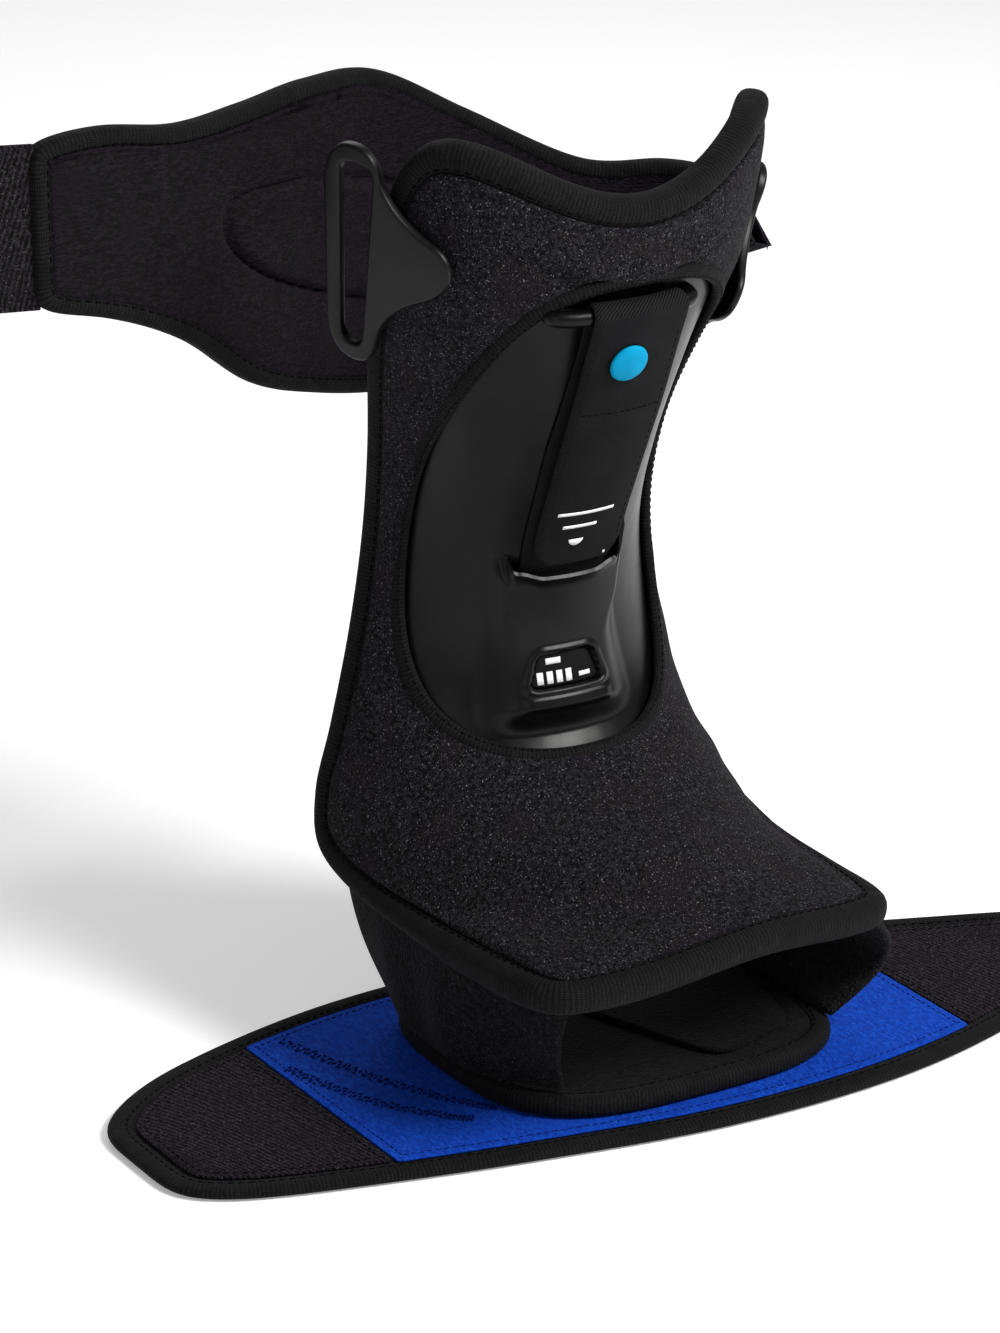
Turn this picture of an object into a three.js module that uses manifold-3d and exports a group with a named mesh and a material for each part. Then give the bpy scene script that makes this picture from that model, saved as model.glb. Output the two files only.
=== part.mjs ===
// Night splint for the sole of the foot: a shin and instep form with a padded calf wing,
// and a foot loop that stands on a wide fastening strap. Millimetres, +Z up, toes towards -Y.
// The origin lies on the floor, under the middle of the sole.
import * as THREE from 'three';
import Module from 'manifold-3d';
import { mergeVertices } from 'three/addons/utils/BufferGeometryUtils.js';

const wasm = await Module();
wasm.setup();

// Driving dimensions
const HEIGHT = 296; // floor to the upper side corners of the shin form
const HALF_WIDTH = 67; // half the width of the form over the toes
const ARC = THREE.MathUtils.degToRad(80); // half of the angle that a cross-section turns through
const GAP = 0.3; // seat between touching pieces

const COVER_T = 2.6; // looped cloth of the front cover
const SHELL_T = 2.4; // moulded shell
const LINER_T = 3.6; // padded liner against the leg
const BINDING_W = 9.3; // edge binding, across
const COVER_SEAT = 0.85; // cover to shell, which have different facets
const LINER_SEAT = 1.3; // shell to liner
const BINDING_T = COVER_T + COVER_SEAT + SHELL_T + LINER_SEAT + LINER_T; // edge binding, over the layers

const RAISE = 5.2; // height of the shell's middle channel over its sides
const CHANNEL_HALF = 19.4; // half width of the channel's flat
const CHANNEL_FLANK = 5; // width of each sloping flank
const CHANNEL_SHIFT = -3.5; // the channel and its strap run this far from the crest, to the left
const BAR_R = 2.6; // bar that the tension strap turns round
const BAR_HALF = 22.5; // half length of that bar
const WEB_HALF = 17.5; // half width of the tension strap
const WEB_T = 1.3; // thickness of the tension strap
const BUTTON_R = 6.8; // round button on the tension strap
const BUTTON_T = 1.8;
const GAUGE_TOP_HALF = 9; // gauge window, half width at its upper edge
const GAUGE_FOOT_HALF = 12.5; // gauge window, half width at its lower edge
const GAUGE_DEPTH = 2.6; // depth of the gauge recess
const GAUGE_T = 1.2; // plate at the bottom of the recess

const LOOP_H = 71; // strap loop, over its frame
const LOOP_W = 25; // strap loop, from its inner to its outer bar
const LOOP_T = 3.4; // strap loop, thickness
const LOOP_BAR = 5.4; // width of the loop's bars
const LOOP_TAB = 21; // reach of the loop's tab over the cover
const RIGHT_LOOP_DROP = 29; // how much lower the right loop sits

const WING_T = 7; // padded calf wing
const WING_BINDING_W = 8;
const WING_BINDING_T = 8;
const END_STRAP_T = 2.4; // hook strap at the wing's free end
const END_STRAP_LENGTH = 30;
const FOLD_STRAP_T = 1.8; // strap folded through the right loop
const FOLD_STRAP_H = 46;

const STRAP_HALF = 174; // half length of the foot strap
const STRAP_SHIFT = 11; // the foot strap's middle lies this far to the right
const STRAP_HALF_Y = 67; // half of the foot strap's greatest width
const STRAP_T = 2.4; // base cloth of the foot strap
const STRAP_BINDING_W = 9;
const STRAP_BINDING_T = 4.4;
const LINING_T = 1; // brushed lining on the foot strap
const LINING_HALF = 99; // half length of that lining
const HOOK_T = 0.9; // hook panels at the strap's ends

const SOLE_HALF_X = 60; // sole pad, also the measure of the walls' feet and the loose flap
const SOLE_HALF_Y = 52.5;
const SOLE_T = 6;
const SOLE_BINDING_W = 8;
const SOLE_BINDING_T = 8;
const WALL_T = 3; // side walls of the foot loop
const WALL_BULGE_LEFT = 3;
const WALL_BULGE_RIGHT = 13;
const FLAP_T = 2; // loose flap lying on the sole pad

// The form from rim to toes: crest and edge as shares of HEIGHT, half width as a share of HALF_WIDTH
const PROFILE_COLUMNS = ['crestY', 'crestZ', 'edgeY', 'edgeZ', 'halfWidth'];
const PROFILE = [
  [-0.091, 0.990, 0.062, 1.007, 0.990],
  [-0.061, 0.838, 0.098, 0.858, 0.964],
  [-0.030, 0.730, 0.149, 0.747, 0.851],
  [0.007, 0.628, 0.182, 0.642, 0.769],
  [0.044, 0.527, 0.198, 0.541, 0.761],
  [0.057, 0.429, 0.201, 0.439, 0.828],
  [0.030, 0.345, 0.204, 0.341, 0.922],
  [-0.037, 0.294, 0.206, 0.264, 1.007],
  [-0.105, 0.267, 0.172, 0.209, 1.067],
  [-0.155, 0.236, 0.071, 0.182, 1.064],
  [-0.199, 0.213, -0.068, 0.182, 1.052],
  [-0.253, 0.186, -0.213, 0.196, 1.045],
];
const RIM_DIP = 0.36; // how far the rim's middle dips, in rows of the profile
const CORNER_DIP = 0.2; // the same for its two corners
const WINDOW = { middle: 3.57, half: 2.62, across: 0.77, power: 2.4 }; // opening in the cover

// The calf wing from the right loop round to its free end, as shares of HALF_WIDTH and HEIGHT
const WING_COLUMNS = ['x', 'y', 'bottom', 'top'];
const WING = [
  [1.265, 0.940, 0.690, 0.862],
  [1.110, 1.170, 0.680, 0.861],
  [0.770, 1.350, 0.665, 0.864],
  [0.210, 1.463, 0.648, 0.934],
  [-0.310, 1.410, 0.648, 0.998],
  [-0.750, 1.280, 0.673, 1.010],
  [-1.140, 1.170, 0.708, 1.003],
  [-1.520, 1.090, 0.774, 0.998],
  [-1.900, 1.050, 0.814, 1.010],
  [-2.270, 1.045, 0.830, 1.010],
];

// Outline of the foot strap: place along it as a share of STRAP_HALF, edges of STRAP_HALF_Y
const STRAP_COLUMNS = ['along', 'front', 'back'];
const STRAP_OUTLINE = [
  [-1.000, -0.480, 0.570],
  [-0.764, -0.630, 0.790],
  [-0.420, -0.866, 0.955],
  [-0.063, -1.060, 0.925],
  [0.293, -1.090, 0.716],
  [0.626, -0.940, 0.328],
  [1.000, -0.627, -0.030],
];

// Side wall of the foot loop, front to rear: its foot is given in shares of SOLE_HALF_X, its seat in
// from the form's edge in shares of HALF_WIDTH, and its head hangs from a row of the form
const WALL_COLUMNS = ['footX', 'footY', 'headRow', 'headInset'];
const WALL = [
  [0.737, -0.625, 10.500, 0.300],
  [0.932, -0.268, 9.900, 0.090],
  [0.949, 0.100, 9.250, 0.075],
  [0.916, 0.436, 8.600, 0.075],
  [0.798, 0.715, 7.800, 0.075],
];

// Small helpers
const V = (x, y, z) => new THREE.Vector3(x, y, z);
const lerp = THREE.MathUtils.lerp;
const smooth = (lo, hi, x) => THREE.MathUtils.smoothstep(x, lo, hi);

/** Catmull-Rom through a table's rows, running on in a straight line past its ends. */
function readTable(rows, columns, u) {
  const last = rows.length - 1;
  const inside = THREE.MathUtils.clamp(u, 0, last);
  const i = Math.min(Math.floor(inside), last - 1);
  const f = inside - i;
  const out = {};
  columns.forEach((name, k) => {
    const b = rows[i][k];
    const c = rows[i + 1][k];
    const a = i > 0 ? rows[i - 1][k] : 2 * b - c;
    const d = i + 2 <= last ? rows[i + 2][k] : 2 * c - b;
    const bend = (2 * a - 5 * b + 4 * c - d) * f * f + (3 * b - a - 3 * c + d) * f ** 3;
    const slope = 0.5 * (c - a + 2 * (2 * a - 5 * b + 4 * c - d) * f + 3 * (3 * b - a - 3 * c + d) * f * f);
    out[name] = 0.5 * (2 * b + (c - a) * f + bend) + slope * (u - inside);
  });
  return out;
}

/** Place, outward normal and the two slopes of a surface at (a, b). */
function frameAt(surface, a, b) {
  const e = 1e-3;
  const p = surface(a, b);
  const da = surface(a + e, b).sub(surface(a - e, b)).divideScalar(2 * e);
  const db = surface(a, b + e).sub(surface(a, b - e)).divideScalar(2 * e);
  const n = new THREE.Vector3().crossVectors(da, db).normalize();
  return { p, da, db, n };
}

const raised = (surface, a, b, offset) => {
  const f = frameAt(surface, a, b);
  return f.p.addScaledVector(f.n, offset);
};

/** Points once round the unit square, anticlockwise, nx steps along and ny steps up. */
function squareLoop(nx, ny) {
  const loop = [];
  for (let i = 0; i < nx; i++) loop.push([-1 + (2 * i) / nx, -1]);
  for (let j = 0; j < ny; j++) loop.push([1, -1 + (2 * j) / ny]);
  for (let i = 0; i < nx; i++) loop.push([1 - (2 * i) / nx, 1]);
  for (let j = 0; j < ny; j++) loop.push([-1, 1 - (2 * j) / ny]);
  return loop;
}

/** Rounds the corners of the unit square into a superellipse. */
function roundSquare([x, y], power) {
  const m = Math.max(Math.abs(x), Math.abs(y)) || 1;
  const r = (Math.abs(x / m) ** power + Math.abs(y / m) ** power) ** (-1 / power);
  return [x * r, y * r];
}

/** Direction in the surface, square to the loop and towards its inside, at each point. */
function inwardAt(surface, loop, i) {
  const n = loop.length;
  const before = loop[(i + n - 1) % n];
  const after = loop[(i + 1) % n];
  const f = frameAt(surface, ...loop[i]);
  const along = surface(...after).sub(surface(...before)).normalize();
  const side = new THREE.Vector3().crossVectors(f.n, along).normalize();
  return { ...f, side };
}

/** The loop moved inwards along the surface by a distance in millimetres. */
function insetLoop(surface, loop, distance) {
  const steps = Math.max(1, Math.ceil(Math.abs(distance) / 2.5));
  let out = loop;
  for (let k = 0; k < steps; k++) {
    out = out.map((q, i) => {
      const f = inwardAt(surface, out, i);
      const aa = f.da.dot(f.da);
      const ab = f.da.dot(f.db);
      const bb = f.db.dot(f.db);
      const ra = f.da.dot(f.side) * (distance / steps);
      const rb = f.db.dot(f.side) * (distance / steps);
      const det = aa * bb - ab * ab;
      return [q[0] + (ra * bb - rb * ab) / det, q[1] + (rb * aa - ra * ab) / det];
    });
  }
  return out;
}

/** Fills a loop of 2 (nx + ny) points with a grid, from its four sides. */
function fillLoop(loop, nx, ny) {
  const low = (i) => loop[i];
  const right = (j) => loop[nx + j];
  const high = (i) => loop[(2 * nx + ny - i) % loop.length];
  const left = (j) => loop[(2 * nx + 2 * ny - j) % loop.length];
  const rows = [];
  for (let j = 0; j <= ny; j++) {
    const row = [];
    const v = j / ny;
    for (let i = 0; i <= nx; i++) {
      const u = i / nx;
      row.push([0, 1].map((k) => {
        const sides = (1 - v) * low(i)[k] + v * high(i)[k] + (1 - u) * left(j)[k] + u * right(j)[k];
        const lower = (1 - u) * low(0)[k] + u * low(nx)[k];
        const upper = (1 - u) * high(0)[k] + u * high(nx)[k];
        return sides - (1 - v) * lower - v * upper;
      }));
    }
    rows.push(row);
  }
  return rows;
}

/** A closed geometry from points and four-cornered faces, with its faces outwards. */
function solid(points, faces) {
  const position = new Float32Array(points.flatMap((p) => [p.x, p.y, p.z]));
  const index = [];
  let volume = 0;
  const add = (a, b, c) => {
    index.push(a, b, c);
    volume += points[a].dot(new THREE.Vector3().crossVectors(points[b], points[c]));
  };
  for (const face of faces) {
    const [a, b, c, d] = face;
    if (face.length === 3) {
      add(a, b, c);
    } else if (points[a].distanceTo(points[c]) <= points[b].distanceTo(points[d])) {
      add(a, b, c);
      add(a, c, d);
    } else {
      add(a, b, d);
      add(b, c, d);
    }
  }
  if (volume < 0) index.reverse();
  const geometry = new THREE.BufferGeometry();
  geometry.setAttribute('position', new THREE.BufferAttribute(position, 3));
  geometry.setIndex(index);
  return geometry;
}

/** Two matching grids of points joined into one slab; round joins its rows into rings. */
function slab(upper, lower, round = false) {
  const rows = upper.length;
  const cols = upper[0].length;
  const at = (side, j, i) => side * rows * cols + j * cols + (i % cols);
  const faces = [];
  const span = round ? cols : cols - 1;
  for (let j = 0; j < rows - 1; j++) {
    for (let i = 0; i < span; i++) {
      faces.push([at(0, j, i), at(0, j, i + 1), at(0, j + 1, i + 1), at(0, j + 1, i)]);
      faces.push([at(1, j, i), at(1, j + 1, i), at(1, j + 1, i + 1), at(1, j, i + 1)]);
    }
  }
  for (let i = 0; i < span; i++) {
    faces.push([at(0, 0, i), at(1, 0, i), at(1, 0, i + 1), at(0, 0, i + 1)]);
    const j = rows - 1;
    faces.push([at(0, j, i), at(0, j, i + 1), at(1, j, i + 1), at(1, j, i)]);
  }
  for (let j = 0; j < rows - 1 && !round; j++) {
    faces.push([at(0, j, 0), at(0, j + 1, 0), at(1, j + 1, 0), at(1, j, 0)]);
    const i = cols - 1;
    faces.push([at(0, j, i), at(1, j, i), at(1, j + 1, i), at(0, j + 1, i)]);
  }
  return solid([...upper.flat(), ...lower.flat()], faces);
}

/** A slab over a grid of surface places, between two offsets (numbers or functions). */
function layer(surface, grid, outer, inner, round = false) {
  const value = (o, q) => (typeof o === 'function' ? o(...q) : o);
  const lift = (o) => grid.map((row) => row.map((q) => raised(surface, ...q, value(o, q))));
  return slab(lift(outer), lift(inner), round);
}

/** A tube through rings of points, closed on itself or capped at both ends. */
function tube(rings, closed) {
  const n = rings[0].length;
  const m = rings.length;
  const at = (j, i) => (j % m) * n + (i % n);
  const faces = [];
  for (let j = 0; j < (closed ? m : m - 1); j++) {
    for (let i = 0; i < n; i++) faces.push([at(j, i), at(j, i + 1), at(j + 1, i + 1), at(j + 1, i)]);
  }
  const cap = (j, turn) => {
    for (let i = 1; i < n - 1; i++) {
      faces.push(turn ? [at(j, 0), at(j, i + 1), at(j, i)] : [at(j, 0), at(j, i), at(j, i + 1)]);
    }
  };
  if (!closed) {
    cap(0, true);
    cap(m - 1, false);
  }
  return solid(rings.flat(), faces);
}

/** A rolled binding along the inside of a loop: width in the surface, thickness across it. */
function binding(surface, loop, width, thickness, offset, sides = 8) {
  const middle = insetLoop(surface, loop, width / 2);
  return tube(middle.map((q, i) => {
    const f = inwardAt(surface, middle, i);
    const ring = [];
    for (let k = 0; k < sides; k++) {
      const angle = (2 * Math.PI * (k + 0.5)) / sides;
      const reach = Math.max(Math.abs(Math.cos(angle)), Math.abs(Math.sin(angle)));
      const [x, y] = roundSquare([Math.cos(angle) / reach, Math.sin(angle) / reach], 2.6);
      const place = f.p.clone().addScaledVector(f.side, (x * width) / 2);
      ring.push(place.addScaledVector(f.n, offset + (y * thickness) / 2));
    }
    return ring;
  }), true);
}

/** Joins or cuts two closed geometries. */
function toManifold(geometry) {
  const bare = new THREE.BufferGeometry();
  bare.setAttribute('position', geometry.getAttribute('position'));
  bare.setIndex(geometry.getIndex());
  const merged = mergeVertices(bare, 1e-4);
  return new wasm.Manifold(new wasm.Mesh({
    numProp: 3,
    vertProperties: new Float32Array(merged.getAttribute('position').array),
    triVerts: new Uint32Array(merged.getIndex().array),
  }));
}

function fromManifold(body) {
  const mesh = body.getMesh();
  const geometry = new THREE.BufferGeometry();
  geometry.setAttribute('position', new THREE.BufferAttribute(new Float32Array(mesh.vertProperties), 3));
  geometry.setIndex(Array.from(mesh.triVerts));
  return geometry;
}

/** A flat plate over a closed outline of [x, y] points, from z up by a thickness. */
function plate(outline, z, thickness) {
  const shape = new THREE.Shape(outline.map(([x, y]) => new THREE.Vector2(x, y)));
  const geometry = new THREE.ExtrudeGeometry(shape, { depth: thickness, bevelEnabled: false });
  return geometry.translate(0, 0, z);
}

const splint = new THREE.Group();
function addPiece(name, geometry, colour, roughness, metalness = 0) {
  const material = new THREE.MeshStandardMaterial({ color: colour, roughness, metalness });
  const mesh = new THREE.Mesh(geometry, material);
  mesh.name = name;
  splint.add(mesh);
}

const CLOTH = 0x1b1a1d;
const BINDING = 0x1d1d1f;
const PLASTIC = 0x141416;

// The shin, instep and toe form
/** Outer face of the form at row s of the profile and share t across it (-1 left, 1 right). */
function form(s, t) {
  const r = readTable(PROFILE, PROFILE_COLUMNS, s);
  const across = Math.sin(ARC * t) / Math.sin(ARC);
  const back = (1 - Math.cos(ARC * t)) / (1 - Math.cos(ARC));
  const y = HEIGHT * lerp(r.crestY, r.edgeY, back);
  const z = HEIGHT * lerp(r.crestZ, r.edgeZ, back);
  return V(HALF_WIDTH * r.halfWidth * across, y, z);
}

/** Share across the form at which row s is x millimetres from the middle of the channel. */
function shareAt(s, x) {
  const half = HALF_WIDTH * readTable(PROFILE, PROFILE_COLUMNS, s).halfWidth;
  return Math.asin(((x + CHANNEL_SHIFT) * Math.sin(ARC)) / half) / ARC;
}

const LAST_ROW = PROFILE.length - 1;
const RIM_STEPS = 14;
const SIDE_STEPS = 22;
const RIM_CREST = 0.72; // share across at which the rim stands highest
function rimRow(t) {
  const middle = Math.cos((Math.PI / 2) * Math.min(1, Math.abs(t) / RIM_CREST)) ** 2;
  const corner = Math.max(0, (Math.abs(t) - RIM_CREST) / (1 - RIM_CREST)) ** 2;
  return RIM_DIP * middle + CORNER_DIP * corner;
}
const formOutline = squareLoop(SIDE_STEPS, RIM_STEPS).map((q) => {
  const [down, across] = roundSquare(q, 9);
  return [lerp(rimRow(across), LAST_ROW, (1 + down) / 2), across];
});
const layersOutline = insetLoop(form, formOutline, BINDING_W + GAP);
const windowOutline = squareLoop(SIDE_STEPS, RIM_STEPS).map((q) => {
  const [down, across] = roundSquare(q, WINDOW.power);
  return [WINDOW.middle + WINDOW.half * down, WINDOW.across * across];
});

addPiece('edge_binding', binding(form, formOutline, BINDING_W, BINDING_T, -BINDING_T / 2 + GAP / 2),
  BINDING, 0.85);

const COVER_RINGS = 5;
const coverRings = [];
for (let k = 0; k <= COVER_RINGS; k++) {
  const share = (k / COVER_RINGS) ** 1.15;
  coverRings.push(windowOutline.map((w, i) => w.map((value, c) => lerp(value, layersOutline[i][c], share))));
}
addPiece('front_cover', layer(form, coverRings, 0, -COVER_T, true), CLOTH, 0.95);

const LINER_OUT = -(COVER_T + COVER_SEAT + SHELL_T + LINER_SEAT);
const linerGrid = fillLoop(insetLoop(form, formOutline, BINDING_W + 1.4), SIDE_STEPS, RIM_STEPS);
addPiece('liner', layer(form, linerGrid, LINER_OUT, LINER_OUT - LINER_T), 0x232327, 0.95);

// The shell, with its channel, pocket, gauge recess and bar
const SHELL_OUT = -(COVER_T + COVER_SEAT);
const LIP_ROW = 4.14; // the channel's upper lip
const CHANNEL_END = 5.98; // where the channel runs out
const BAR_ROW = 1.16;
const channelWide = CHANNEL_HALF + CHANNEL_FLANK;

function shellRaise(s, t) {
  const x = Math.abs(form(s, t).x - CHANNEL_SHIFT);
  const lip = LIP_ROW - 0.28 * smooth(WEB_HALF + GAP, CHANNEL_HALF, x);
  const flank = 1 - smooth(CHANNEL_HALF - 0.5, channelWide, x);
  const rise = smooth(lip - 0.08, lip + 0.04, s) * (1 - smooth(CHANNEL_END - 0.34, CHANNEL_END, s));
  const ledge = smooth(5.5, 5.56, s) * (1 - smooth(5.66, 5.74, s)) * (1 - smooth(12, 15.5, x));
  return SHELL_OUT + RAISE * flank * rise + 1.7 * ledge;
}

const SHELL_ROWS = [0.82, 1.2, 1.9, 2.6, 3.3, 3.77, 3.9, 4.06, 4.18, 4.5, 4.95, 5.4, 5.5, 5.56,
  5.66, 5.74, 5.84, 5.98, 6.4, 7.1, 7.9, 8.7, 9.4, 10];
const SHELL_HALF = [0, 6.5, 13, WEB_HALF + GAP, CHANNEL_HALF, CHANNEL_HALF + 2, channelWide];
const SHELL_ACROSS = [...SHELL_HALF.slice(1).map((x) => -x).reverse(), ...SHELL_HALF];
const shellOutline = insetLoop(form, formOutline, BINDING_W + 3.2);
/** Share across at which row s meets the shell's outline on the right. */
function shellEdge(s) {
  let share = 0;
  shellOutline.forEach((p, i) => {
    const q = shellOutline[(i + 1) % shellOutline.length];
    const crosses = (p[0] - s) * (q[0] - s) <= 0 && p[0] !== q[0] && p[1] + q[1] > 0;
    if (crosses) share = Math.max(share, lerp(p[1], q[1], (s - p[0]) / (q[0] - p[0])));
  });
  return share;
}
const shellGrid = SHELL_ROWS.map((s) => {
  const ends = Math.min(smooth(0.2, 1.4, s), 1 - smooth(9.4, 11, s));
  const edge = shellEdge(s) * lerp(0.9, 1, ends);
  const inner = SHELL_ACROSS.map((x) => shareAt(s, x));
  const outward = (from, to) => [0.36, 0.7, 1].map((f) => lerp(from, to, f));
  const left = outward(inner[0], -edge).reverse();
  return [...left, ...inner, ...outward(inner[inner.length - 1], edge)].map((t) => [s, t]);
});
let shellBody = toManifold(layer(form, shellGrid, shellRaise, SHELL_OUT - SHELL_T));

/** A block over rows s0 to s1 and a half width (a function of the row), between two offsets. */
function channelBlock(s0, s1, halfAt, low, high, rows = 5) {
  const grid = [];
  for (let j = 0; j <= rows; j++) {
    const s = lerp(s0, s1, j / rows);
    grid.push([-1, -0.5, 0, 0.5, 1].map((f) => [s, shareAt(s, f * halfAt(j / rows))]));
  }
  return layer(form, grid, high, low);
}

const pocket = channelBlock(LIP_ROW - 0.3, LIP_ROW + 0.42, () => WEB_HALF + 2 * GAP, SHELL_OUT,
  SHELL_OUT + WEB_T + 1.1);
const GAUGE_ROWS = [5.03, 5.44];
const gaugeFloor = SHELL_OUT + RAISE - GAUGE_DEPTH;
const gaugeHalf = (f) => lerp(GAUGE_TOP_HALF, GAUGE_FOOT_HALF, f);
const gaugeRecess = channelBlock(...GAUGE_ROWS, gaugeHalf, gaugeFloor, SHELL_OUT + RAISE + 3);

/** A round bar along a path of [x, offset] places at one row of the form. */
function rowBar(row, path, radius, sides = 8) {
  const places = path.map(([x, offset]) => raised(form, row, shareAt(row, x), offset));
  const up = form(row - 0.01, shareAt(row, 0)).sub(form(row + 0.01, shareAt(row, 0))).normalize();
  return tube(places.map((p, i) => {
    const ahead = places[Math.min(i + 1, places.length - 1)];
    const behind = places[Math.max(i - 1, 0)];
    const along = ahead.clone().sub(behind).normalize();
    const side = new THREE.Vector3().crossVectors(along, up).normalize();
    const ring = [];
    for (let k = 0; k < sides; k++) {
      const angle = (2 * Math.PI * k) / sides;
      const turned = p.clone().addScaledVector(side, radius * Math.cos(angle));
      ring.push(turned.addScaledVector(up, radius * Math.sin(angle)));
    }
    return ring;
  }), false);
}
const BAR_OFFSET = SHELL_OUT + 2 * GAP + WEB_T + BAR_R + 0.05;
const barPath = [[-BAR_HALF - 1.5, SHELL_OUT - 1.2], [-BAR_HALF - 1.2, BAR_OFFSET - 2.4], [-BAR_HALF + 1, BAR_OFFSET],
  [-BAR_HALF / 2, BAR_OFFSET], [0, BAR_OFFSET], [BAR_HALF / 2, BAR_OFFSET], [BAR_HALF - 1, BAR_OFFSET],
  [BAR_HALF + 1.2, BAR_OFFSET - 2.4], [BAR_HALF + 1.5, SHELL_OUT - 1.2]];
shellBody = shellBody.subtract(toManifold(pocket)).subtract(toManifold(gaugeRecess));
shellBody = shellBody.add(toManifold(rowBar(BAR_ROW, barPath, BAR_R)));
addPiece('shell', fromManifold(shellBody), PLASTIC, 0.42);

const plateHalf = (f) => gaugeHalf(f) - GAP - 0.1;
addPiece('gauge_plate', channelBlock(GAUGE_ROWS[0] + 0.015, GAUGE_ROWS[1] - 0.015, plateHalf,
  gaugeFloor + GAP, gaugeFloor + GAP + GAUGE_T, 2), 0x101012, 0.6);

// The tension strap: from the pocket up, round the bar and down to its free end
const WEB_IN = SHELL_OUT + GAP + WEB_T / 2; // middle of the lower layer
const turnR = BAR_R + GAP + WEB_T / 2 + 0.05;
const rowsPerMm = 0.01 / form(BAR_ROW, 0).distanceTo(form(BAR_ROW + 0.01, 0));
const webPath = [];
for (const s of [4.4, 3.9, 3.3, 2.7, 2.1, 1.5]) webPath.push([s, WEB_IN, 1]);
for (let k = 0; k <= 6; k++) {
  const angle = -Math.PI / 2 + (Math.PI * k) / 6;
  const up = Math.cos(angle) * turnR * rowsPerMm;
  webPath.push([BAR_ROW - up, BAR_OFFSET + Math.sin(angle) * turnR, 1]);
}
const WEB_FREE = [[1.5, 0.80, 1], [2.1, 0.62, 1], [2.7, 0.44, 1], [3.3, 0.28, 1], [3.72, 0.21, 1],
  [3.88, 0.19, 0.93], [4.0, 0.18, 0.72]]; // row, share of the bar's lift, share of the width
const freeLow = WEB_IN + WEB_T + GAP;
const freeHigh = BAR_OFFSET + turnR;
for (const [s, share, width] of WEB_FREE) webPath.push([s, lerp(freeLow, freeHigh, share), width]);
const webPlaces = webPath.map(([s, offset, width]) => [-1, -0.5, 0, 0.5, 1].map((f) => (
  raised(form, s, shareAt(s, f * WEB_HALF * width), offset))));
const webUpper = [];
const webLower = [];
webPlaces.forEach((row, j) => {
  const ahead = webPlaces[Math.min(j + 1, webPlaces.length - 1)];
  const behind = webPlaces[Math.max(j - 1, 0)];
  const normals = row.map((p, i) => {
    const along = ahead[i].clone().sub(behind[i]).normalize();
    const across = row[Math.min(i + 1, 4)].clone().sub(row[Math.max(i - 1, 0)]).normalize();
    return new THREE.Vector3().crossVectors(along, across).normalize();
  });
  webUpper.push(row.map((p, i) => p.clone().addScaledVector(normals[i], WEB_T / 2)));
  webLower.push(row.map((p, i) => p.clone().addScaledVector(normals[i], -WEB_T / 2)));
});
addPiece('tension_strap', slab(webUpper, webLower), 0x1a1a1c, 0.8);

const BUTTON_ROW = 1.6;
const buttonShare = 0.745; // lift of the strap under the button, between its low and high layers
const buttonLift = lerp(freeLow, freeHigh, buttonShare) + WEB_T / 2 + GAP;
const buttonSeat = frameAt(form, BUTTON_ROW, shareAt(BUTTON_ROW, 0));
const buttonProfile = [[0, 0], [BUTTON_R * 0.94, 0], [BUTTON_R, 0.5], [BUTTON_R * 0.93, BUTTON_T * 0.75],
  [BUTTON_R * 0.6, BUTTON_T], [0, BUTTON_T]].map(([r, h]) => new THREE.Vector2(r, h));
const button = new THREE.LatheGeometry(buttonProfile, 18);
const strapLean = 0.055; // the upper layer slopes towards the shell on its way down
const buttonNormal = buttonSeat.n.clone().addScaledVector(buttonSeat.da.clone().normalize(), strapLean).normalize();
button.applyQuaternion(new THREE.Quaternion().setFromUnitVectors(V(0, 1, 0), buttonNormal));
const buttonPlace = buttonSeat.p.clone().addScaledVector(buttonSeat.n, buttonLift);
button.translate(buttonPlace.x, buttonPlace.y, buttonPlace.z);
addPiece('strap_button', button, 0x2aa5dc, 0.4);

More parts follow.
